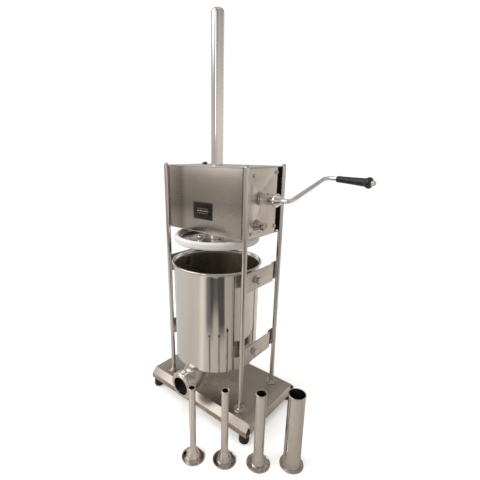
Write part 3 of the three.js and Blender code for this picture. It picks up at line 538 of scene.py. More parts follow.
# painted shade: faces inside the bore take the dark finish
spine = [Vector(c) for c in curve]
for p in elbow.data.polygons:
    c = (p.center - DATUM) / MM
    if min((c - q).length for q in spine) < 27.2:
        p.material_index = 1
weld = lambda r, o, ax, w=1.0: revolve([(r + w * 0.85 * math.cos(a), w * math.sin(a)) for a in np.linspace(0, TAU, 13)[:-1]], 96, o, ax, shape=lambda rr, h, t: rr + 0.03 * math.sin(60 * t))
make("elbow_weld", weld(29.3, (0, -100, zf - 0.6), (0, 0, 1)), "canister", steel_weld, sharp=80)
make("outlet_thread", revolve(soften([(26.0, 0), (29.6, 0), (29.6, 10), (26.0, 10)], True), 72, (0, -146.5, 54), (0, -1, 0), shape=None), "canister", steel_turned)
for s, side in ((1, "right"), (-1, "left")):
    boss = soften([(6.5, 108.6), (15.5, 108.6, 0.6), (14, 111.2, 1.5), (14, 122, 0.8), (6.5, 122, 0.4)], closed=True, steps=4)
    make("pivot_boss_" + side, revolve(boss, 56, (0, -22, 144), (s, 0, 0)), "canister", steel_turned)
    lug = prism(soften([(-36, 326, 3), (-10, 326, 3), (-10, 350, 3), (-36, 350, 3)], True), 108.2, 116.5, "x")
    slot_cut = prism([(-45, 333.2), (-22 + 0.2, 333.2)] + [(-22 + 0.2 + 4.8 * math.sin(a), 338 - 4.8 * math.cos(a)) for a in np.linspace(0.2, math.pi - 0.2, 12)] + [(-22 + 0.2, 342.8), (-45, 342.8)], 111.2, 125, "x")
    if s < 0:
        lug, slot_cut = mirrored(lug), mirrored(slot_cut)
    make("lock_lug_" + side, lug, "canister", steel_turned, cutters=[slot_cut], bevel=0.5, segments=3)

# ring nut: six broad grips with a hollow between each, a chamfered front lip and a bore
def lobed(r, h, t):
    if r < 31:
        return r
    k = 0.5 + 0.5 * math.cos(6 * t)
    return r - 2.6 * (1 - min(1.0, k * 2.3) ** 0.8)


nut = soften([(30, 0), (34.6, 0, 1.0), (35.8, 2.0, 0.8), (35.8, 17.5, 0.8), (34.2, 19.6, 1.2), (30.5, 20.6, 0.8), (29.2, 22, 0.6), (23.7, 22, 0.7), (23.7, 17.5, 0.3), (30, 17.5)], closed=True, steps=4)
make("outlet_nut", revolve(nut, 144, (0, -139.3, 54), (0, -1, 0), ref=(1, 0, 0), shape=lobed), "outlet_nut", steel_turned, ["outlet_nut"], sharp=28)

# ------------------------------------------------------------------ piston
z = 415.5
gasket = soften([(97.1, z + 1, 0.5), (99, z, 0.5), (104.5, z, 1.5), (107.5, z + 3.4, 2.5), (107.5, z + 9, 2), (107.0, z + 14, 2.2), (104.0, z + 18, 2.4), (99.4, z + 18, 1.4), (97.1, z + 16, 0.8)], closed=True, steps=6)
make("piston_gasket", revolve(gasket, 160, AX), "piston", silicone, ["piston_gasket"], sharp=60)
dish = soften([(0, z + 2.5), (96.7, z + 2.5, 2.4), (96.7, z + 15, 0.9), (94.9, z + 15, 0.7), (94.7, z + 5.2, 3.2), (70, z + 5.0, 2.0), (68.6, z + 6.2, 1.2), (66.5, z + 6.2, 1.2), (65, z + 5.0, 1.5), (0, z + 5.0)], steps=5)
vent = revolve([(0, z), (5.35, z), (5.35, z + 9), (0, z + 9)], 32, (-6, -76, 0))
make("piston_disc", revolve(dish, 144, AX), "piston", polished, ["piston_disc"], cutters=[vent], sharp=34)


def hexed(across, lo, hi):
    """Radius of a hexagon head, kept inside the round chamfer of the profile."""
    def f(r, h, t):
        if not (lo - 0.01 <= h <= hi + 0.01) or r < across * 0.45:
            return r
        a = (t + math.pi / 6) % (math.pi / 3) - math.pi / 6
        return min(r, across / 2 / math.cos(a))
    return f


hub = soften([(14.8, z + 5.3), (20, z + 5.3, 0.6), (20, z + 17, 1.0), (17.5, z + 19.5, 1.0), (14.8, z + 19.5, 0.4)], closed=True, steps=4)
make("piston_nut", revolve(hub, 96, AX, shape=hexed(36.0, z + 5.3, z + 18.2)), "piston", chrome, ["piston_nut"], sharp=26)
bolt = soften([(0, z - 2.5), (8.4, z - 2.5, 0.8), (11, z - 0.6, 0.6), (11, z + 2.2), (8, z + 2.2), (8, z + 5.2), (0, z + 5.2)], steps=4)
make("piston_bolt", revolve(bolt, 64, AX), "piston", polished, ["piston_bolt"])
valve = soften([(0, z - 3), (7, z - 3, 0.5), (7, z - 1.3, 0.5), (5, z - 1.3), (5, z + 5.3), (8, z + 5.3, 0.4), (8, z + 8.6, 0.4), (7.3, z + 9.2, 0.3), (7.3, z + 10.2, 0.3), (8, z + 10.8, 0.4), (8, z + 17, 1.2), (6.3, z + 19, 1.2), (0, z + 19)], steps=4)
make("air_valve", revolve(valve, 72, (-6, -76, 0), shape=fluted(20, 0.05, z + 11.2, z + 16.8)), "air_valve", chrome, ["air_valve"], sharp=30)

# the rack: a round bar with straight-sided teeth cut along its rear face
ROD_R, M = 14.5, 2.75
pitch = math.pi * M
tip, line = 13.8, 13.8 - M
root = line - 1.25 * M
zp = 496.438
tan20 = math.tan(math.radians(20))
half = lambda y: pitch / 4 + 0.12 + (y - line) * tan20
stations = [(421.0, ROD_R), (421.8, ROD_R + 0.0)]
first, last = zp - 3 * pitch, zp + 43 * pitch
stations.append((first - half(tip) - 1.2, ROD_R))
stations.append((first - half(tip) - 0.9, tip))
for k in range(-3, 44):
    c = zp + k * pitch
    for y in (tip, 12.2, 10.6, 9.1, root):
        stations.append((c - half(y), y))
    for y in (root, 9.1, 10.6, 12.2, tip):
        stations.append((c + half(y), y))
stations.append((last + half(tip) + 0.9, tip))
stations.append((last + half(tip) + 1.2, ROD_R))
for zz in np.linspace(last + half(tip) + 12, 912.5, 3):
    stations.append((float(zz), ROD_R))
angles = sorted(set([round(a, 4) for a in np.linspace(-62, 62, 33)] + [round(a, 4) for a in np.linspace(62, 298, 49)[1:-1]]))
verts, faces, rings = [], [], []
for zz, clip in stations:
    rings.append(list(range(len(verts), len(verts) + len(angles))))
    for a in angles:
        t = math.radians(a)
        c = math.cos(t)
        rr = min(ROD_R, clip / c) if c > 0.05 else ROD_R
        verts.append(Vector((rr * math.sin(t), -22 + rr * math.cos(t), zz)))
for a in np.linspace(0, math.pi / 2, 12)[1:]:
    # the rounded end with a small flat on top
    rr, zz = 6.0 + 8.5 * math.cos(a), 912.5 + 9.3 * math.sin(a)
    rings.append(list(range(len(verts), len(verts) + len(angles))))
    for ang in angles:
        t = math.radians(ang)
        verts.append(Vector((rr * math.sin(t), -22 + rr * math.cos(t), zz)))
for rr, zz in ((2.4, 922.0), (2.0, 921.6), (0.8, 920.6)):
    rings.append(list(range(len(verts), len(verts) + len(angles))))
    for ang in angles:
        t = math.radians(ang)
        verts.append(Vector((rr * math.sin(t), -22 + rr * math.cos(t), zz)))
m = len(angles)
for a, b in zip(rings, rings[1:]):
    for k in range(m):
        faces.append((a[k], a[(k + 1) % m], b[(k + 1) % m], b[k]))
faces.append(tuple(reversed(rings[0])))
faces.append(tuple(rings[-1]))
make("rack_rod", (verts, faces), "piston", chrome_rod, ["rack_rod"], sharp=24)

# ------------------------------------------------------------------ gear housing
notched = [(126.4, -62), (126.4, 62), (117, 62), (117, 72.9), (-117, 72.9), (-117, 62), (-126.4, 62), (-126.4, -62), (-117, -62), (-117, -72.9), (117, -72.9), (117, -62)]
pass_hole = lambda z0, z1: revolve([(0, z0), (15.1, z0), (15.1, z1), (0, z1)], 64, AX)
make("housing_top", prism(notched, 596.9, 598.9), "frame", steel_top, ["housing_top"], cutters=[pass_hole(590, 605)], bevel=0.45, segments=3)
make("housing_bottom", prism(notched, 441.7, 443.7), "frame", steel_top, ["housing_bottom"], cutters=[pass_hole(436, 450)], bevel=0.4)
face = sheet([(-117, -62.3), (-117, -72.9), (117, -72.9), (117, -62.3)], 1.5, 2.4)
make("housing_front", prism(face, 444.0, 596.6), "frame", steel_front_painted_light, ["housing_front"], bevel=0.3)
make("housing_rear", turned(prism(face, 444.0, 596.6), Matrix.Rotation(math.pi, 4, "Z")), "frame", steel_front_painted_light, ["housing_rear"], bevel=0.3)
side_line = [(112, -61.7), (126.4, -61.7), (126.4, 48.5), (112, 48.5), (112, 61.7)]
right = prism(sheet(side_line, 1.5, 2.4), 444.0, 596.6)
bores = [revolve([(0, 115), (r, 115), (r, 135), (0, 135)], 48, (0, yy, zz), (1, 0, 0)) for r, yy, zz in ((12.3, -18, 530), (11.3, -28, 471.172))]
make("housing_side_right", right, "frame", steel_side, ["housing_side_right"], cutters=bores, bevel=0.3)
make("housing_side_left", mirrored(right), "frame", steel_side, ["housing_side_left"], bevel=0.3)
# painted shadow: the joggled strip beside the rear post is made near-black to stand in for the shade in the gap
for name in ("housing_side_right", "housing_side_left"):
    o = PIECES[name]
    o.data.materials.append(painted_recess_shadow)
    for p in o.data.polygons:
        c = (p.center - DATUM) / MM
        if abs(c.x) < 125.5 and c.y > 47.2:
            p.material_index = 1
# painted shadow: the return flanges of the front and rear panels take the near-black shade finish too
for name in ("housing_front", "housing_rear"):
    o = PIECES[name]
    o.data.materials.append(painted_recess_shadow)
    for p in o.data.polygons:
        c = (p.center - DATUM) / MM
        if abs(c.x) > 115.3 and abs(c.y) < 72.6:
            p.material_index = 1

# narrow strips close the notch between each panel edge and its post; the rear ones are near-black, a painted shadow
# standing in for the shade in the gap
for sx, sy in ((1, 1), (-1, 1), (1, -1), (-1, -1)):
    part = block(*sorted((sx * 117.15, sx * 120.1)), *sorted((sy * 70.4, sy * 72.7)), 444.2, 596.4)
    make(f"notch_strip_{'front' if sy < 0 else 'rear'}_{'left' if sx < 0 else 'right'}", part, "frame", painted_recess_shadow if sy > 0 else steel_front_painted_light, bevel=0.3)

head = soften([(0, 118), (2, 118), (2, 126.7), (4.4, 126.7, 0.3), (4.3, 128.2, 0.8), (3.0, 129.6, 0.8), (1.9, 130.0, 0.3), (1.6, 128.9, 0.15), (0, 128.9)], steps=4)
for name, yy, zz in (("front_upper", -45, 581), ("front_lower", -51, 454), ("rear_upper", 43.5, 586), ("rear_lower", 43.5, 459)):
    make("side_screw_" + name, revolve(head, 40, (0, yy, zz), (1, 0, 0)), "frame", polished, ["side_screw_" + name])
    make("side_screw_left_" + name, revolve(head, 40, (0, yy, zz), (-1, 0, 0)), "frame", polished)

# name plate: a bevelled black plate with a raised border and a plain pattern of bars
plate = prism(soften([(-30.5, 475, 1.2), (30.5, 475, 1.2), (30.5, 515.7, 1.2), (-30.5, 515.7, 1.2)], True, 4), -74.0, -73.2, "y")
make("name_plate", plate, "frame", plate_black, ["name_plate"], bevel=0.25)
bars = []


def strip(x0, x1, z0, z1, top=-74.18):
    return prism(soften([(x0, z0, 0.35), (x1, z0, 0.35), (x1, z1, 0.35), (x0, z1, 0.35)], True, 3), top, -73.95, "y")


for x0, x1, z0, z1 in ((-28.6, 28.6, 476.9, 477.5), (-28.6, 28.6, 513.2, 513.8), (-28.6, -28.0, 477.5, 513.2), (28.0, 28.6, 477.5, 513.2)):
    bars.append(strip(x0, x1, z0, z1))
make("name_plate_border", merge(*bars), "frame", plate_edge)
bars = [strip(x, x + w, 494.2, 496.6) for x, w in ((-17, 5.2), (-9.8, 8.4), (0.8, 3.4), (6.4, 7.0), (15.6, 3.0))]
bars += [strip(-17, 18.6, 489.6, 490.2), strip(-17, 18.6, 500.4, 501.0)]
make("name_plate_bars", merge(*bars), "frame", plate_light)
plug = soften([(0, 599.2), (6.6, 599.2, 0.3), (7, 600.0, 0.4), (7, 601.0, 0.5), (5.6, 602.0, 0.4), (5.0, 603.4, 1.0), (2.8, 604.7, 1.2), (0, 604.9)], steps=4)
plug = [(r, min(h, 604.7)) for r, h in plug]
make("filler_plug", revolve(plug, 48, (-86, 26, 0)), "frame", plug_black, ["filler_plug"])

up = soften([(9.65, 116), (12, 116, 0.3), (12, 126.7), (14, 126.7, 0.3), (14, 129.4, 0.6), (13.2, 130.2, 0.4), (10.4, 130.2, 0.4), (9.65, 129.6, 0.2)], closed=True, steps=3)
make("bush_upper_shaft", revolve(up, 64, (0, -18, 530), (1, 0, 0)), "frame", steel_turned, ["bush_upper_shaft"])
lo = soften([(9.65, 116), (11, 116, 0.3), (11, 126.7), (12.6, 126.7, 0.3), (12.6, 128.8, 0.5), (12.0, 129.4, 0.3), (10.3, 129.4, 0.3), (9.65, 128.8, 0.2)], closed=True, steps=3)
make("bush_lower_shaft", revolve(lo, 64, (0, -28, 471.172), (1, 0, 0)), "frame", steel_turned, ["bush_lower_shaft"])

# ------------------------------------------------------------------ shafts and crank
upper = soften([(0, 40), (5.5, 40, 0.6), (5.5, 90), (9.3, 90, 0.3), (9.3, 165.7, 0.6), (0, 165.7)], steps=3)
make("upper_shaft", revolve(upper, 48, (0, -18, 530), (1, 0, 0)), "crank", polished, ["upper_shaft"])
lower = soften([(0, 70), (8, 70, 0.6), (8, 90), (9.3, 90, 0.3), (9.3, 149, 0.4), (8.1, 150.2, 0.3), (0, 150.2)], steps=3)
flat = block(133, 155, -28 - 12, -28 + 12, 471.172 + 6.8, 471.172 + 14)
make("lower_shaft", revolve(lower, 72, (0, -28, 471.172), (1, 0, 0)), "lower_shaft", polished, ["lower_shaft"], cutters=[flat], sharp=28)
pin = soften([(0, -68), (8, -68, 0.8), (8, 101, 0.8), (0, 101)], steps=3)
make("pinion_shaft", revolve(pin, 48, (0, 5.55, 496.438), (1, 0, 0)), "pinion_shaft", polished, ["pinion_shaft"])

ca, sa = math.cos(math.radians(14)), math.sin(math.radians(14))
along_arm = Vector((0, ca, sa))
at = lambda x, r: Vector((x, -18 + r * ca, 530 + r * sa))
hub = soften([(9.6, 131), (12.6, 131, 0.6), (12.6, 162.4, 1.0), (15, 163.6, 0.6), (15, 168.5, 1.2), (12.8, 171.6, 1.6), (7.5, 180.0, 1.2), (5.3, 181, 0.4), (5.3, 166.2), (9.6, 166.2)], closed=True, steps=5)
make("crank_hub", revolve(hub, 72, (0, -18, 530), (1, 0, 0)), "crank", chrome_satin_painted_light, ["crank_hub"], sharp=30)
setscrew = soften([(0, 10.6), (2.6, 10.6), (2.6, 13.4, 0.4), (1.5, 13.4), (1.4, 12.6), (0, 12.6)], steps=3)
make("hub_set_screw", revolve(setscrew, 32, at(147, 0), (0, -sa, ca)), "crank", gear_steel)
tilt = math.radians(-10.9)
grip_dir = Vector((math.cos(tilt), math.sin(tilt) * ca, math.sin(tilt) * sa))
start = at(230, 166)
corner = at(200.5, 166 - (230 - 200.5) * math.tan(tilt))
arm_path = rounded_path([at(166.8, 0), at(200.5, 0), corner, start], 13.0, 14)
make("crank_arm", tube(arm_path, 5.0, 40), "crank", chrome_satin_painted_light, ["crank_arm"], bevel=0.6, segments=3, angle=60)
make("grip_spindle", tube([start - grip_dir * 1.0, start + grip_dir * 40, start + grip_dir * 89.8], 3.6, 24), "crank", chrome)
grip = soften([(4, 0.4), (6.6, 0.4, 0.6), (7.45, 2.4, 1.0), (7.5, 12, 4), (8.1, 35, 8), (8.9, 58, 6), (9.4, 71, 2.0), (11.9, 75.6, 1.4), (12.55, 78.6, 1.2), (12.2, 82.0, 1.4), (10, 84, 1.0), (4, 84)], closed=True, steps=5)
ribs = lambda r, h, t: r * (1 - 0.022 * (0.5 - 0.5 * math.cos(10 * t)) ** 3) if 8 < h < 70 and r > 6 else r
dense = []
for (r0, h0), (r1, h1) in zip(grip, grip[1:] + grip[:1]):
    n = max(1, int(abs(h1 - h0) / 4)) if r0 > 6 and r1 > 6 else 1
    dense += [(r0 + (r1 - r0) * k / n, h0 + (h1 - h0) * k / n) for k in range(n)]
make("crank_grip", revolve(dense, 80, start, grip_dir, shape=ribs), "grip", grip_black, ["crank_grip"], sharp=50)
cap = soften([(3.7, 84.4), (6.4, 84.4, 0.3), (6.5, 88.6, 0.4), (5.6, 90.2, 0.6), (5.2, 92.0, 1.2), (3.4, 93.8, 1.4), (0, 94.3)], steps=4) + [(0, 90.6), (3.7, 90.6)]
make("grip_nut", revolve([(r, min(h, 93.3)) for r, h in cap], 48, start, grip_dir, shape=hexed(11.6, 84.4, 89.6)), "crank", chrome, ["grip_nut"], sharp=28)

# ------------------------------------------------------------------ stuffing tubes
for name, x, y, r0, r1 in (("nozzle_small", 100.3, -216.8, 7.6, 7.6), ("nozzle_medium", 160.9, -175.4, 8.2, 8.2), ("nozzle_large", 225.0, -131.4, 11.4, 11.6), ("nozzle_extra_large", 283.3, -82.4, 19.4, 18.6)):
    b, f, s = BENCH, 27.3, max(r0 + 2.8, 17.0)
    e, top = s - r0, BENCH + 191
    out = soften([(f, b, 0.0), (f, b + 2.6, 1.0), (f - 1.3, b + 2.6, 0.8), (f - 2.6, b + 1.6, 0.5), (s + 0.9, b + 1.6, 0.5), (s + 0.2, b + 3.2, 1.5), (s - 0.12 * e, b + 8, 8.0), (r0 + 0.36 * e, b + 18, 14.0), (r0, b + 27.5, 10.0),
                  (r1, top - 3.4, 1.0), (r1 + 0.9, top - 1.6, 0.8), (r1 + 0.9, top - 0.5, 0.5), (r1 + 0.1, top, 0.3)], steps=7)
    tall = []
    for (a0, h0), (a1, h1) in zip(out, out[1:]):
        n = max(1, int(abs(h1 - h0) / 20))
        tall += [(a0 + (a1 - a0) * k / n, h0 + (h1 - h0) * k / n) for k in range(n)]
    tall.append(out[-1])
    back = [(r1 - 1.1, top - 0.4), (r1 - 1.25, top - 2), (r1 - 1.25, 60), (r0 - 1.25, b + 26), (r0 + 0.36 * e - 1.7, b + 16.6), (s - 0.12 * e - 1.6, b + 7.2), (s - 0.8, b + 0.6), (f - 3.2, b + 0.6), (f - 2.0, b)]
    o = make(name, revolve(tall + back, 96, (x, y, 0)), name, steel_tube, [name], sharp=32)
    # the spun foot is brighter than the satin tube
    o.data.materials.append(steel_spun)
    for p in o.data.polygons:
        if (p.center.z - DATUM.z) / MM < b + 17:
            p.material_index = 1

# ------------------------------------------------------------------ gears, bearing plates and guides keep their CAD shape, with softened edges
for node, finish in (("rack_pinion", gear_steel), ("large_gear", gear_steel), ("upper_gear", gear_steel), ("lower_gear", gear_steel), ("fast_gear", gear_steel),
                     ("bearing_plate_left", gear_steel), ("bearing_plate_inner", gear_steel), ("bearing_plate_outer", gear_steel),
                     ("guide_bush_lower", bronze), ("guide_bush_upper", bronze)):
    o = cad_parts[node]
    o.data.materials.clear()
    o.data.materials.append(finish)
    for p in o.data.polygons:
        p.material_index = 0
    m = o.modifiers.new("edge", "BEVEL")
    m.width, m.segments, m.limit_method, m.angle_limit = 0.25 * MM, 2, "ANGLE", math.radians(40)


# ------------------------------------------------------------------ studio
def emission_world():
    w = bpy.data.worlds.new("studio")
    bpy.context.scene.world = w
    w.use_nodes = True
    nt = w.node_tree
    nt.nodes.clear()
    new = nt.nodes.new
    link = nt.links.new
    co = new("ShaderNodeTexCoord")
    sep = new("ShaderNodeSeparateXYZ")
    link(co.outputs["Generated"], sep.inputs[0])
    # tone of the room by height
    hgt = new("ShaderNodeMapRange")
    hgt.inputs["From Min"].default_value, hgt.inputs["From Max"].default_value = -1, 1
    link(sep.outputs["Z"], hgt.inputs["Value"])
    light_ramp = new("ShaderNodeValToRGB")
    link(hgt.outputs[0], light_ramp.inputs[0])
    el = light_ramp.color_ramp.elements
    el[0].position, el[0].color = 0.0, (0.10, 0.09, 0.08, 1)
    el[1].position, el[1].color = 1.0, (0.55, 0.53, 0.51, 1)
    for pos, col in ((0.36, (0.17, 0.152, 0.138)), (0.43, (0.47, 0.425, 0.385)), (0.54, (0.58, 0.535, 0.49)), (0.66, (0.34, 0.312, 0.285)), (0.80, (0.25, 0.228, 0.205))):
        e = el.new(pos)
        e.color = (*col, 1)
    # soft upright bands round the room
    mp = new("ShaderNodeMapping")
    mp.inputs["Scale"].default_value = (1, 1, 0.06)
    link(co.outputs["Generated"], mp.inputs[0])
    nz = new("ShaderNodeTexNoise")
    nz.inputs["Scale"].default_value, nz.inputs["Detail"].default_value = 4.5, 1.5
    link(mp.outputs[0], nz.inputs["Vector"])
    mr = new("ShaderNodeMapRange")
    mr.inputs["From Min"].default_value, mr.inputs["From Max"].default_value = 0.33, 0.67
    mr.inputs["To Min"].default_value, mr.inputs["To Max"].default_value = 0.72, 1.25
    link(nz.outputs[0], mr.inputs["Value"])
    sc = new("ShaderNodeVectorMath")
    sc.operation = "SCALE"
    link(light_ramp.outputs[0], sc.inputs[0])
    link(mr.outputs[0], sc.inputs["Scale"])
    # the pale backdrop behind the object
    dot = new("ShaderNodeVectorMath")
    dot.operation = "DOT_PRODUCT"
    link(co.outputs["Generated"], dot.inputs[0])
    dot.inputs[1].default_value = (-0.648, 0.762, -0.10)
    bk = new("ShaderNodeMapRange")
    bk.interpolation_type = "SMOOTHSTEP"
    bk.inputs["From Min"].default_value, bk.inputs["From Max"].default_value = 0.42, 0.62
    link(dot.outputs["Value"], bk.inputs["Value"])
    up = new("ShaderNodeMapRange")
    up.interpolation_type = "SMOOTHSTEP"
    up.inputs["From Min"].default_value, up.inputs["From Max"].default_value = 0.30, 0.50
    up.inputs["To Min"].default_value, up.inputs["To Max"].default_value = 1.0, 0.0
    link(sep.outputs["Z"], up.inputs["Value"])
    both = new("ShaderNodeMath")
    both.operation = "MULTIPLY"
    link(bk.outputs[0], both.inputs[0])
    link(up.outputs[0], both.inputs[1])
    mix = new("ShaderNodeMix")
    mix.data_type = "RGBA"
    link(both.outputs[0], mix.inputs[0])
    link(sc.outputs[0], mix.inputs[6])
    mix.inputs[7].default_value = (0.66, 0.655, 0.665, 1)
    # a broad soft window high on the left, which the front bevel of the base mirrors
    win = new("ShaderNodeVectorMath")
    win.operation = "DOT_PRODUCT"
    link(co.outputs["Generated"], win.inputs[0])
    win.inputs[1].default_value = tuple(Vector((-0.55, -0.64, 0.54)).normalized())
    wm = new("ShaderNodeMapRange")
    wm.interpolation_type = "SMOOTHSTEP"
    wm.inputs["From Min"].default_value, wm.inputs["From Max"].default_value = 0.82, 0.96
    link(win.outputs["Value"], wm.inputs["Value"])
    low = new("ShaderNodeMapRange")
    low.interpolation_type = "SMOOTHSTEP"
    low.inputs["From Min"].default_value, low.inputs["From Max"].default_value = 0.14, 0.36
    link(sep.outputs["Z"], low.inputs["Value"])
    cut = new("ShaderNodeMath")
    cut.operation = "MULTIPLY"
    link(wm.outputs[0], cut.inputs[0])
    link(low.outputs[0], cut.inputs[1])
    # the room is a little brighter on the right
    rt = new("ShaderNodeVectorMath")
    rt.operation = "DOT_PRODUCT"
    link(co.outputs["Generated"], rt.inputs[0])
    rt.inputs[1].default_value = (0.93, 0.37, 0.0)
    rm = new("ShaderNodeMapRange")
    rm.interpolation_type = "SMOOTHSTEP"
    rm.inputs["From Min"].default_value, rm.inputs["From Max"].default_value = 0.1, 0.8
    rm.inputs["To Min"].default_value, rm.inputs["To Max"].default_value = 1.0, 1.38
    link(rt.outputs["Value"], rm.inputs["Value"])
    lift = new("ShaderNodeVectorMath")
    lift.operation = "SCALE"
    link(mix.outputs[2], lift.inputs[0])
    link(rm.outputs[0], lift.inputs["Scale"])
    mix2 = new("ShaderNodeMix")
    mix2.data_type = "RGBA"
    link(cut.outputs[0], mix2.inputs[0])
    link(lift.outputs[0], mix2.inputs[6])
    mix2.inputs[7].default_value = (2.35, 2.28, 2.18, 1)
    room = new("ShaderNodeBackground")
    link(mix2.outputs[2], room.inputs[0])
    room.inputs[1].default_value = 1.0
    white = new("ShaderNodeBackground")
    white.inputs[0].default_value = (1, 1, 1, 1)
    white.inputs[1].default_value = 1.05
    lp = new("ShaderNodeLightPath")
    ms = new("ShaderNodeMixShader")
    link(lp.outputs["Is Camera Ray"], ms.inputs[0])
    link(room.outputs[0], ms.inputs[1])
    link(white.outputs[0], ms.inputs[2])
    out = new("ShaderNodeOutputWorld")
    link(ms.outputs[0], out.inputs[0])


def area(name, place, aim, size, power, colour=(1, 1, 1)):
    light = bpy.data.lights.new(name, "AREA")
    light.shape = "RECTANGLE"
    light.size, light.size_y = size
    light.energy = power
    light.color = colour
    o = bpy.data.objects.new(name, light)
    bpy.context.scene.collection.objects.link(o)
    o.location = Vector(place) + DATUM
    o.rotation_mode = "QUATERNION"
    o.rotation_quaternion = (Vector(aim) - Vector(place)).to_track_quat("-Z", "Y")
    return o


emission_world()
area("key", (-1.07, -1.37, 1.10), (0.0, 0.0, 0.05), (1.9, 0.95), 12.5, (1.0, 0.985, 0.96)).visible_glossy = False
area("window", (0.40, -2.15, 1.30), (0.0, 0.0, 0.70), (0.40, 1.1), 2.5, (1.0, 0.985, 0.96))
area("fill", (1.75, 0.35, 1.15), (0.0, 0.0, 0.35), (0.45, 1.2), 3.6, (0.97, 0.985, 1.0)).visible_glossy = False
area("top", (0.15, 0.1, 2.3), (0.05, 0.0, 0.0), (1.5, 1.5), 19).visible_glossy = False

# the pale table: seen from the object's side it is a little darker than it photographs
F2, S2 = Vector((0.648, -0.762, 0)), Vector((0.762, 0.648, 0))
tbl = [(-2.6, -2.2), (1.25, -2.2), (1.25, 2.2), (-2.6, 2.2)]
me = bpy.data.meshes.new("table")
me.from_pydata([tuple(DATUM + F2 * a + S2 * b + Vector((0, 0, BENCH * MM))) for a, b in tbl], [], [tuple(range(len(tbl)))])
me.update()
if me.polygons[0].normal.z < 0:
    me.flip_normals()
table = bpy.data.objects.new("table", me)
bpy.context.scene.collection.objects.link(table)
s = Shader("pale_table")
tone = s.span(s.noise(1.2, 2.0), 0.3, 0.7, 0.99, 1.01)
near = s.node("ShaderNodeBsdfDiffuse")
# towards the camera the photographer's side of the table falls away into shade
pos = s.node("ShaderNodeVectorMath", operation="SUBTRACT")
s.set(pos.inputs[0], s.node("ShaderNodeNewGeometry").outputs["Position"])
pos.inputs[1].default_value = tuple(DATUM)


def along(direction):
    d = s.node("ShaderNodeVectorMath", operation="DOT_PRODUCT")
    s.set(d.inputs[0], pos.outputs[0])
    d.inputs[1].default_value = tuple(direction)
    return d.outputs["Value"]


fwd = along(F2)
az = s.math("MULTIPLY", s.math("ARCTAN2", along(S2), fwd), 180 / math.pi)
patch = lambda centre, core, rim: s.span(s.math("ABSOLUTE", s.math("SUBTRACT", az, centre)), core, rim, 1.0, 0.0, True)
right_one = patch(12.0, 5.0, 10.0)
left_one = s.math("MULTIPLY", patch(-17.0, 4.0, 12.0), 0.80)
between = s.math("MULTIPLY", patch(-3.0, 6.0, 14.0), s.span(fwd, 0.60, 0.95, 0.0, 0.9, True))
shade = s.math("MINIMUM", s.math("ADD", s.math("ADD", right_one, left_one), between), 1.0)
shade = s.math("MULTIPLY", shade, s.span(fwd, 0.44, 0.66, 0.0, 1.0, True))
# painted reflection: seen from the object the table changes colour round the canister, with a bright cream band and
# darker stretches, standing in for the room it mirrors
turn = s.math("ADD", s.math("MULTIPLY", s.math("ARCTAN2", along(S2), fwd), 0.5 / math.pi), 0.5)
room_reflection_ramp = s.node("ShaderNodeValToRGB")
s.set(room_reflection_ramp.inputs[0], turn)
el = room_reflection_ramp.color_ramp.elements
el[0].position, el[0].color = 0.0, (0.72, 0.72, 0.74, 1)
el[1].position, el[1].color = 1.0, (0.72, 0.72, 0.74, 1)
for place, col in ((0.19, (0.64, 0.63, 0.64)), (0.32, (0.57, 0.54, 0.51)), (0.375, (0.62, 0.58, 0.54)), (0.402, (0.88, 0.83, 0.76)), (0.432, (0.58, 0.545, 0.51)), (0.565, (0.50, 0.46, 0.42)), (0.63, (0.42, 0.385, 0.355)), (0.71, (0.60, 0.56, 0.52)), (0.78, (0.74, 0.70, 0.655))):
    el.new(place).color = (*col, 1)
s.set(near.inputs[0], s.mix(shade, s.scale(room_reflection_ramp.outputs[0], tone), (0.085, 0.085, 0.088)))
far = s.node("ShaderNodeVectorMath", operation="LENGTH")
s.set(far.inputs[0], pos.outputs[0])
seen = s.node("ShaderNodeBsdfDiffuse")
s.set(seen.inputs[0], s.scale((0.93, 0.93, 0.93), tone))
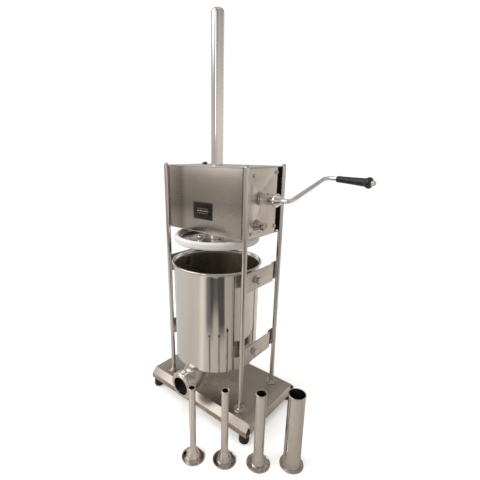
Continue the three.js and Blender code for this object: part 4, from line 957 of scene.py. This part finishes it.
glow = s.node("ShaderNodeEmission")
glow.inputs[1].default_value = 0.30
lit = s.node("ShaderNodeAddShader")
s.nt.links.new(seen.outputs[0], lit.inputs[0])
s.nt.links.new(glow.outputs[0], lit.inputs[1])
sweep = s.node("ShaderNodeEmission")
sweep.inputs[1].default_value = 1.05
add = s.node("ShaderNodeMixShader")
s.set(add.inputs[0], s.span(far.outputs["Value"], 0.42, 0.95, 0.0, 1.0, True))
s.nt.links.new(lit.outputs[0], add.inputs[1])
s.nt.links.new(sweep.outputs[0], add.inputs[2])
lp = s.node("ShaderNodeLightPath")
ms = s.node("ShaderNodeMixShader")
s.nt.links.new(lp.outputs["Is Camera Ray"], ms.inputs[0])
s.nt.links.new(near.outputs[0], ms.inputs[1])
s.nt.links.new(add.outputs[0], ms.inputs[2])
out = s.node("ShaderNodeOutputMaterial")
s.nt.links.new(ms.outputs[0], out.inputs[0])
me.materials.append(s.mat)

scene = bpy.context.scene
scene.view_settings.view_transform = "Standard"
scene.view_settings.look = "None"

# ------------------------------------------------------------------ camera
yaw, pitch_down, roll = math.radians(-41.05), math.radians(16.68), math.radians(0.30)
F = Vector((math.sin(yaw) * math.cos(pitch_down), math.cos(yaw) * math.cos(pitch_down), -math.sin(pitch_down)))
R = Vector((math.cos(yaw), -math.sin(yaw), 0))
U = R.cross(F)
R2, U2 = R * math.cos(roll) + U * math.sin(roll), U * math.cos(roll) - R * math.sin(roll)
cam = bpy.data.cameras.new("camera")
cam.sensor_width, cam.lens = 36.0, 36.0 * 336.8 / 480
cam.shift_x, cam.shift_y = (240 - 218.5) / 480, (253.6 - 240) / 480
cam.clip_start, cam.clip_end = 0.05, 50
camera = bpy.data.objects.new("camera", cam)
scene.collection.objects.link(camera)
B = -F
eye = DATUM + Vector((0.551, -0.648, 0.628))
camera.matrix_world = Matrix(((R2.x, U2.x, B.x, eye.x), (R2.y, U2.y, B.y, eye.y), (R2.z, U2.z, B.z, eye.z), (0, 0, 0, 1)))
scene.camera = camera
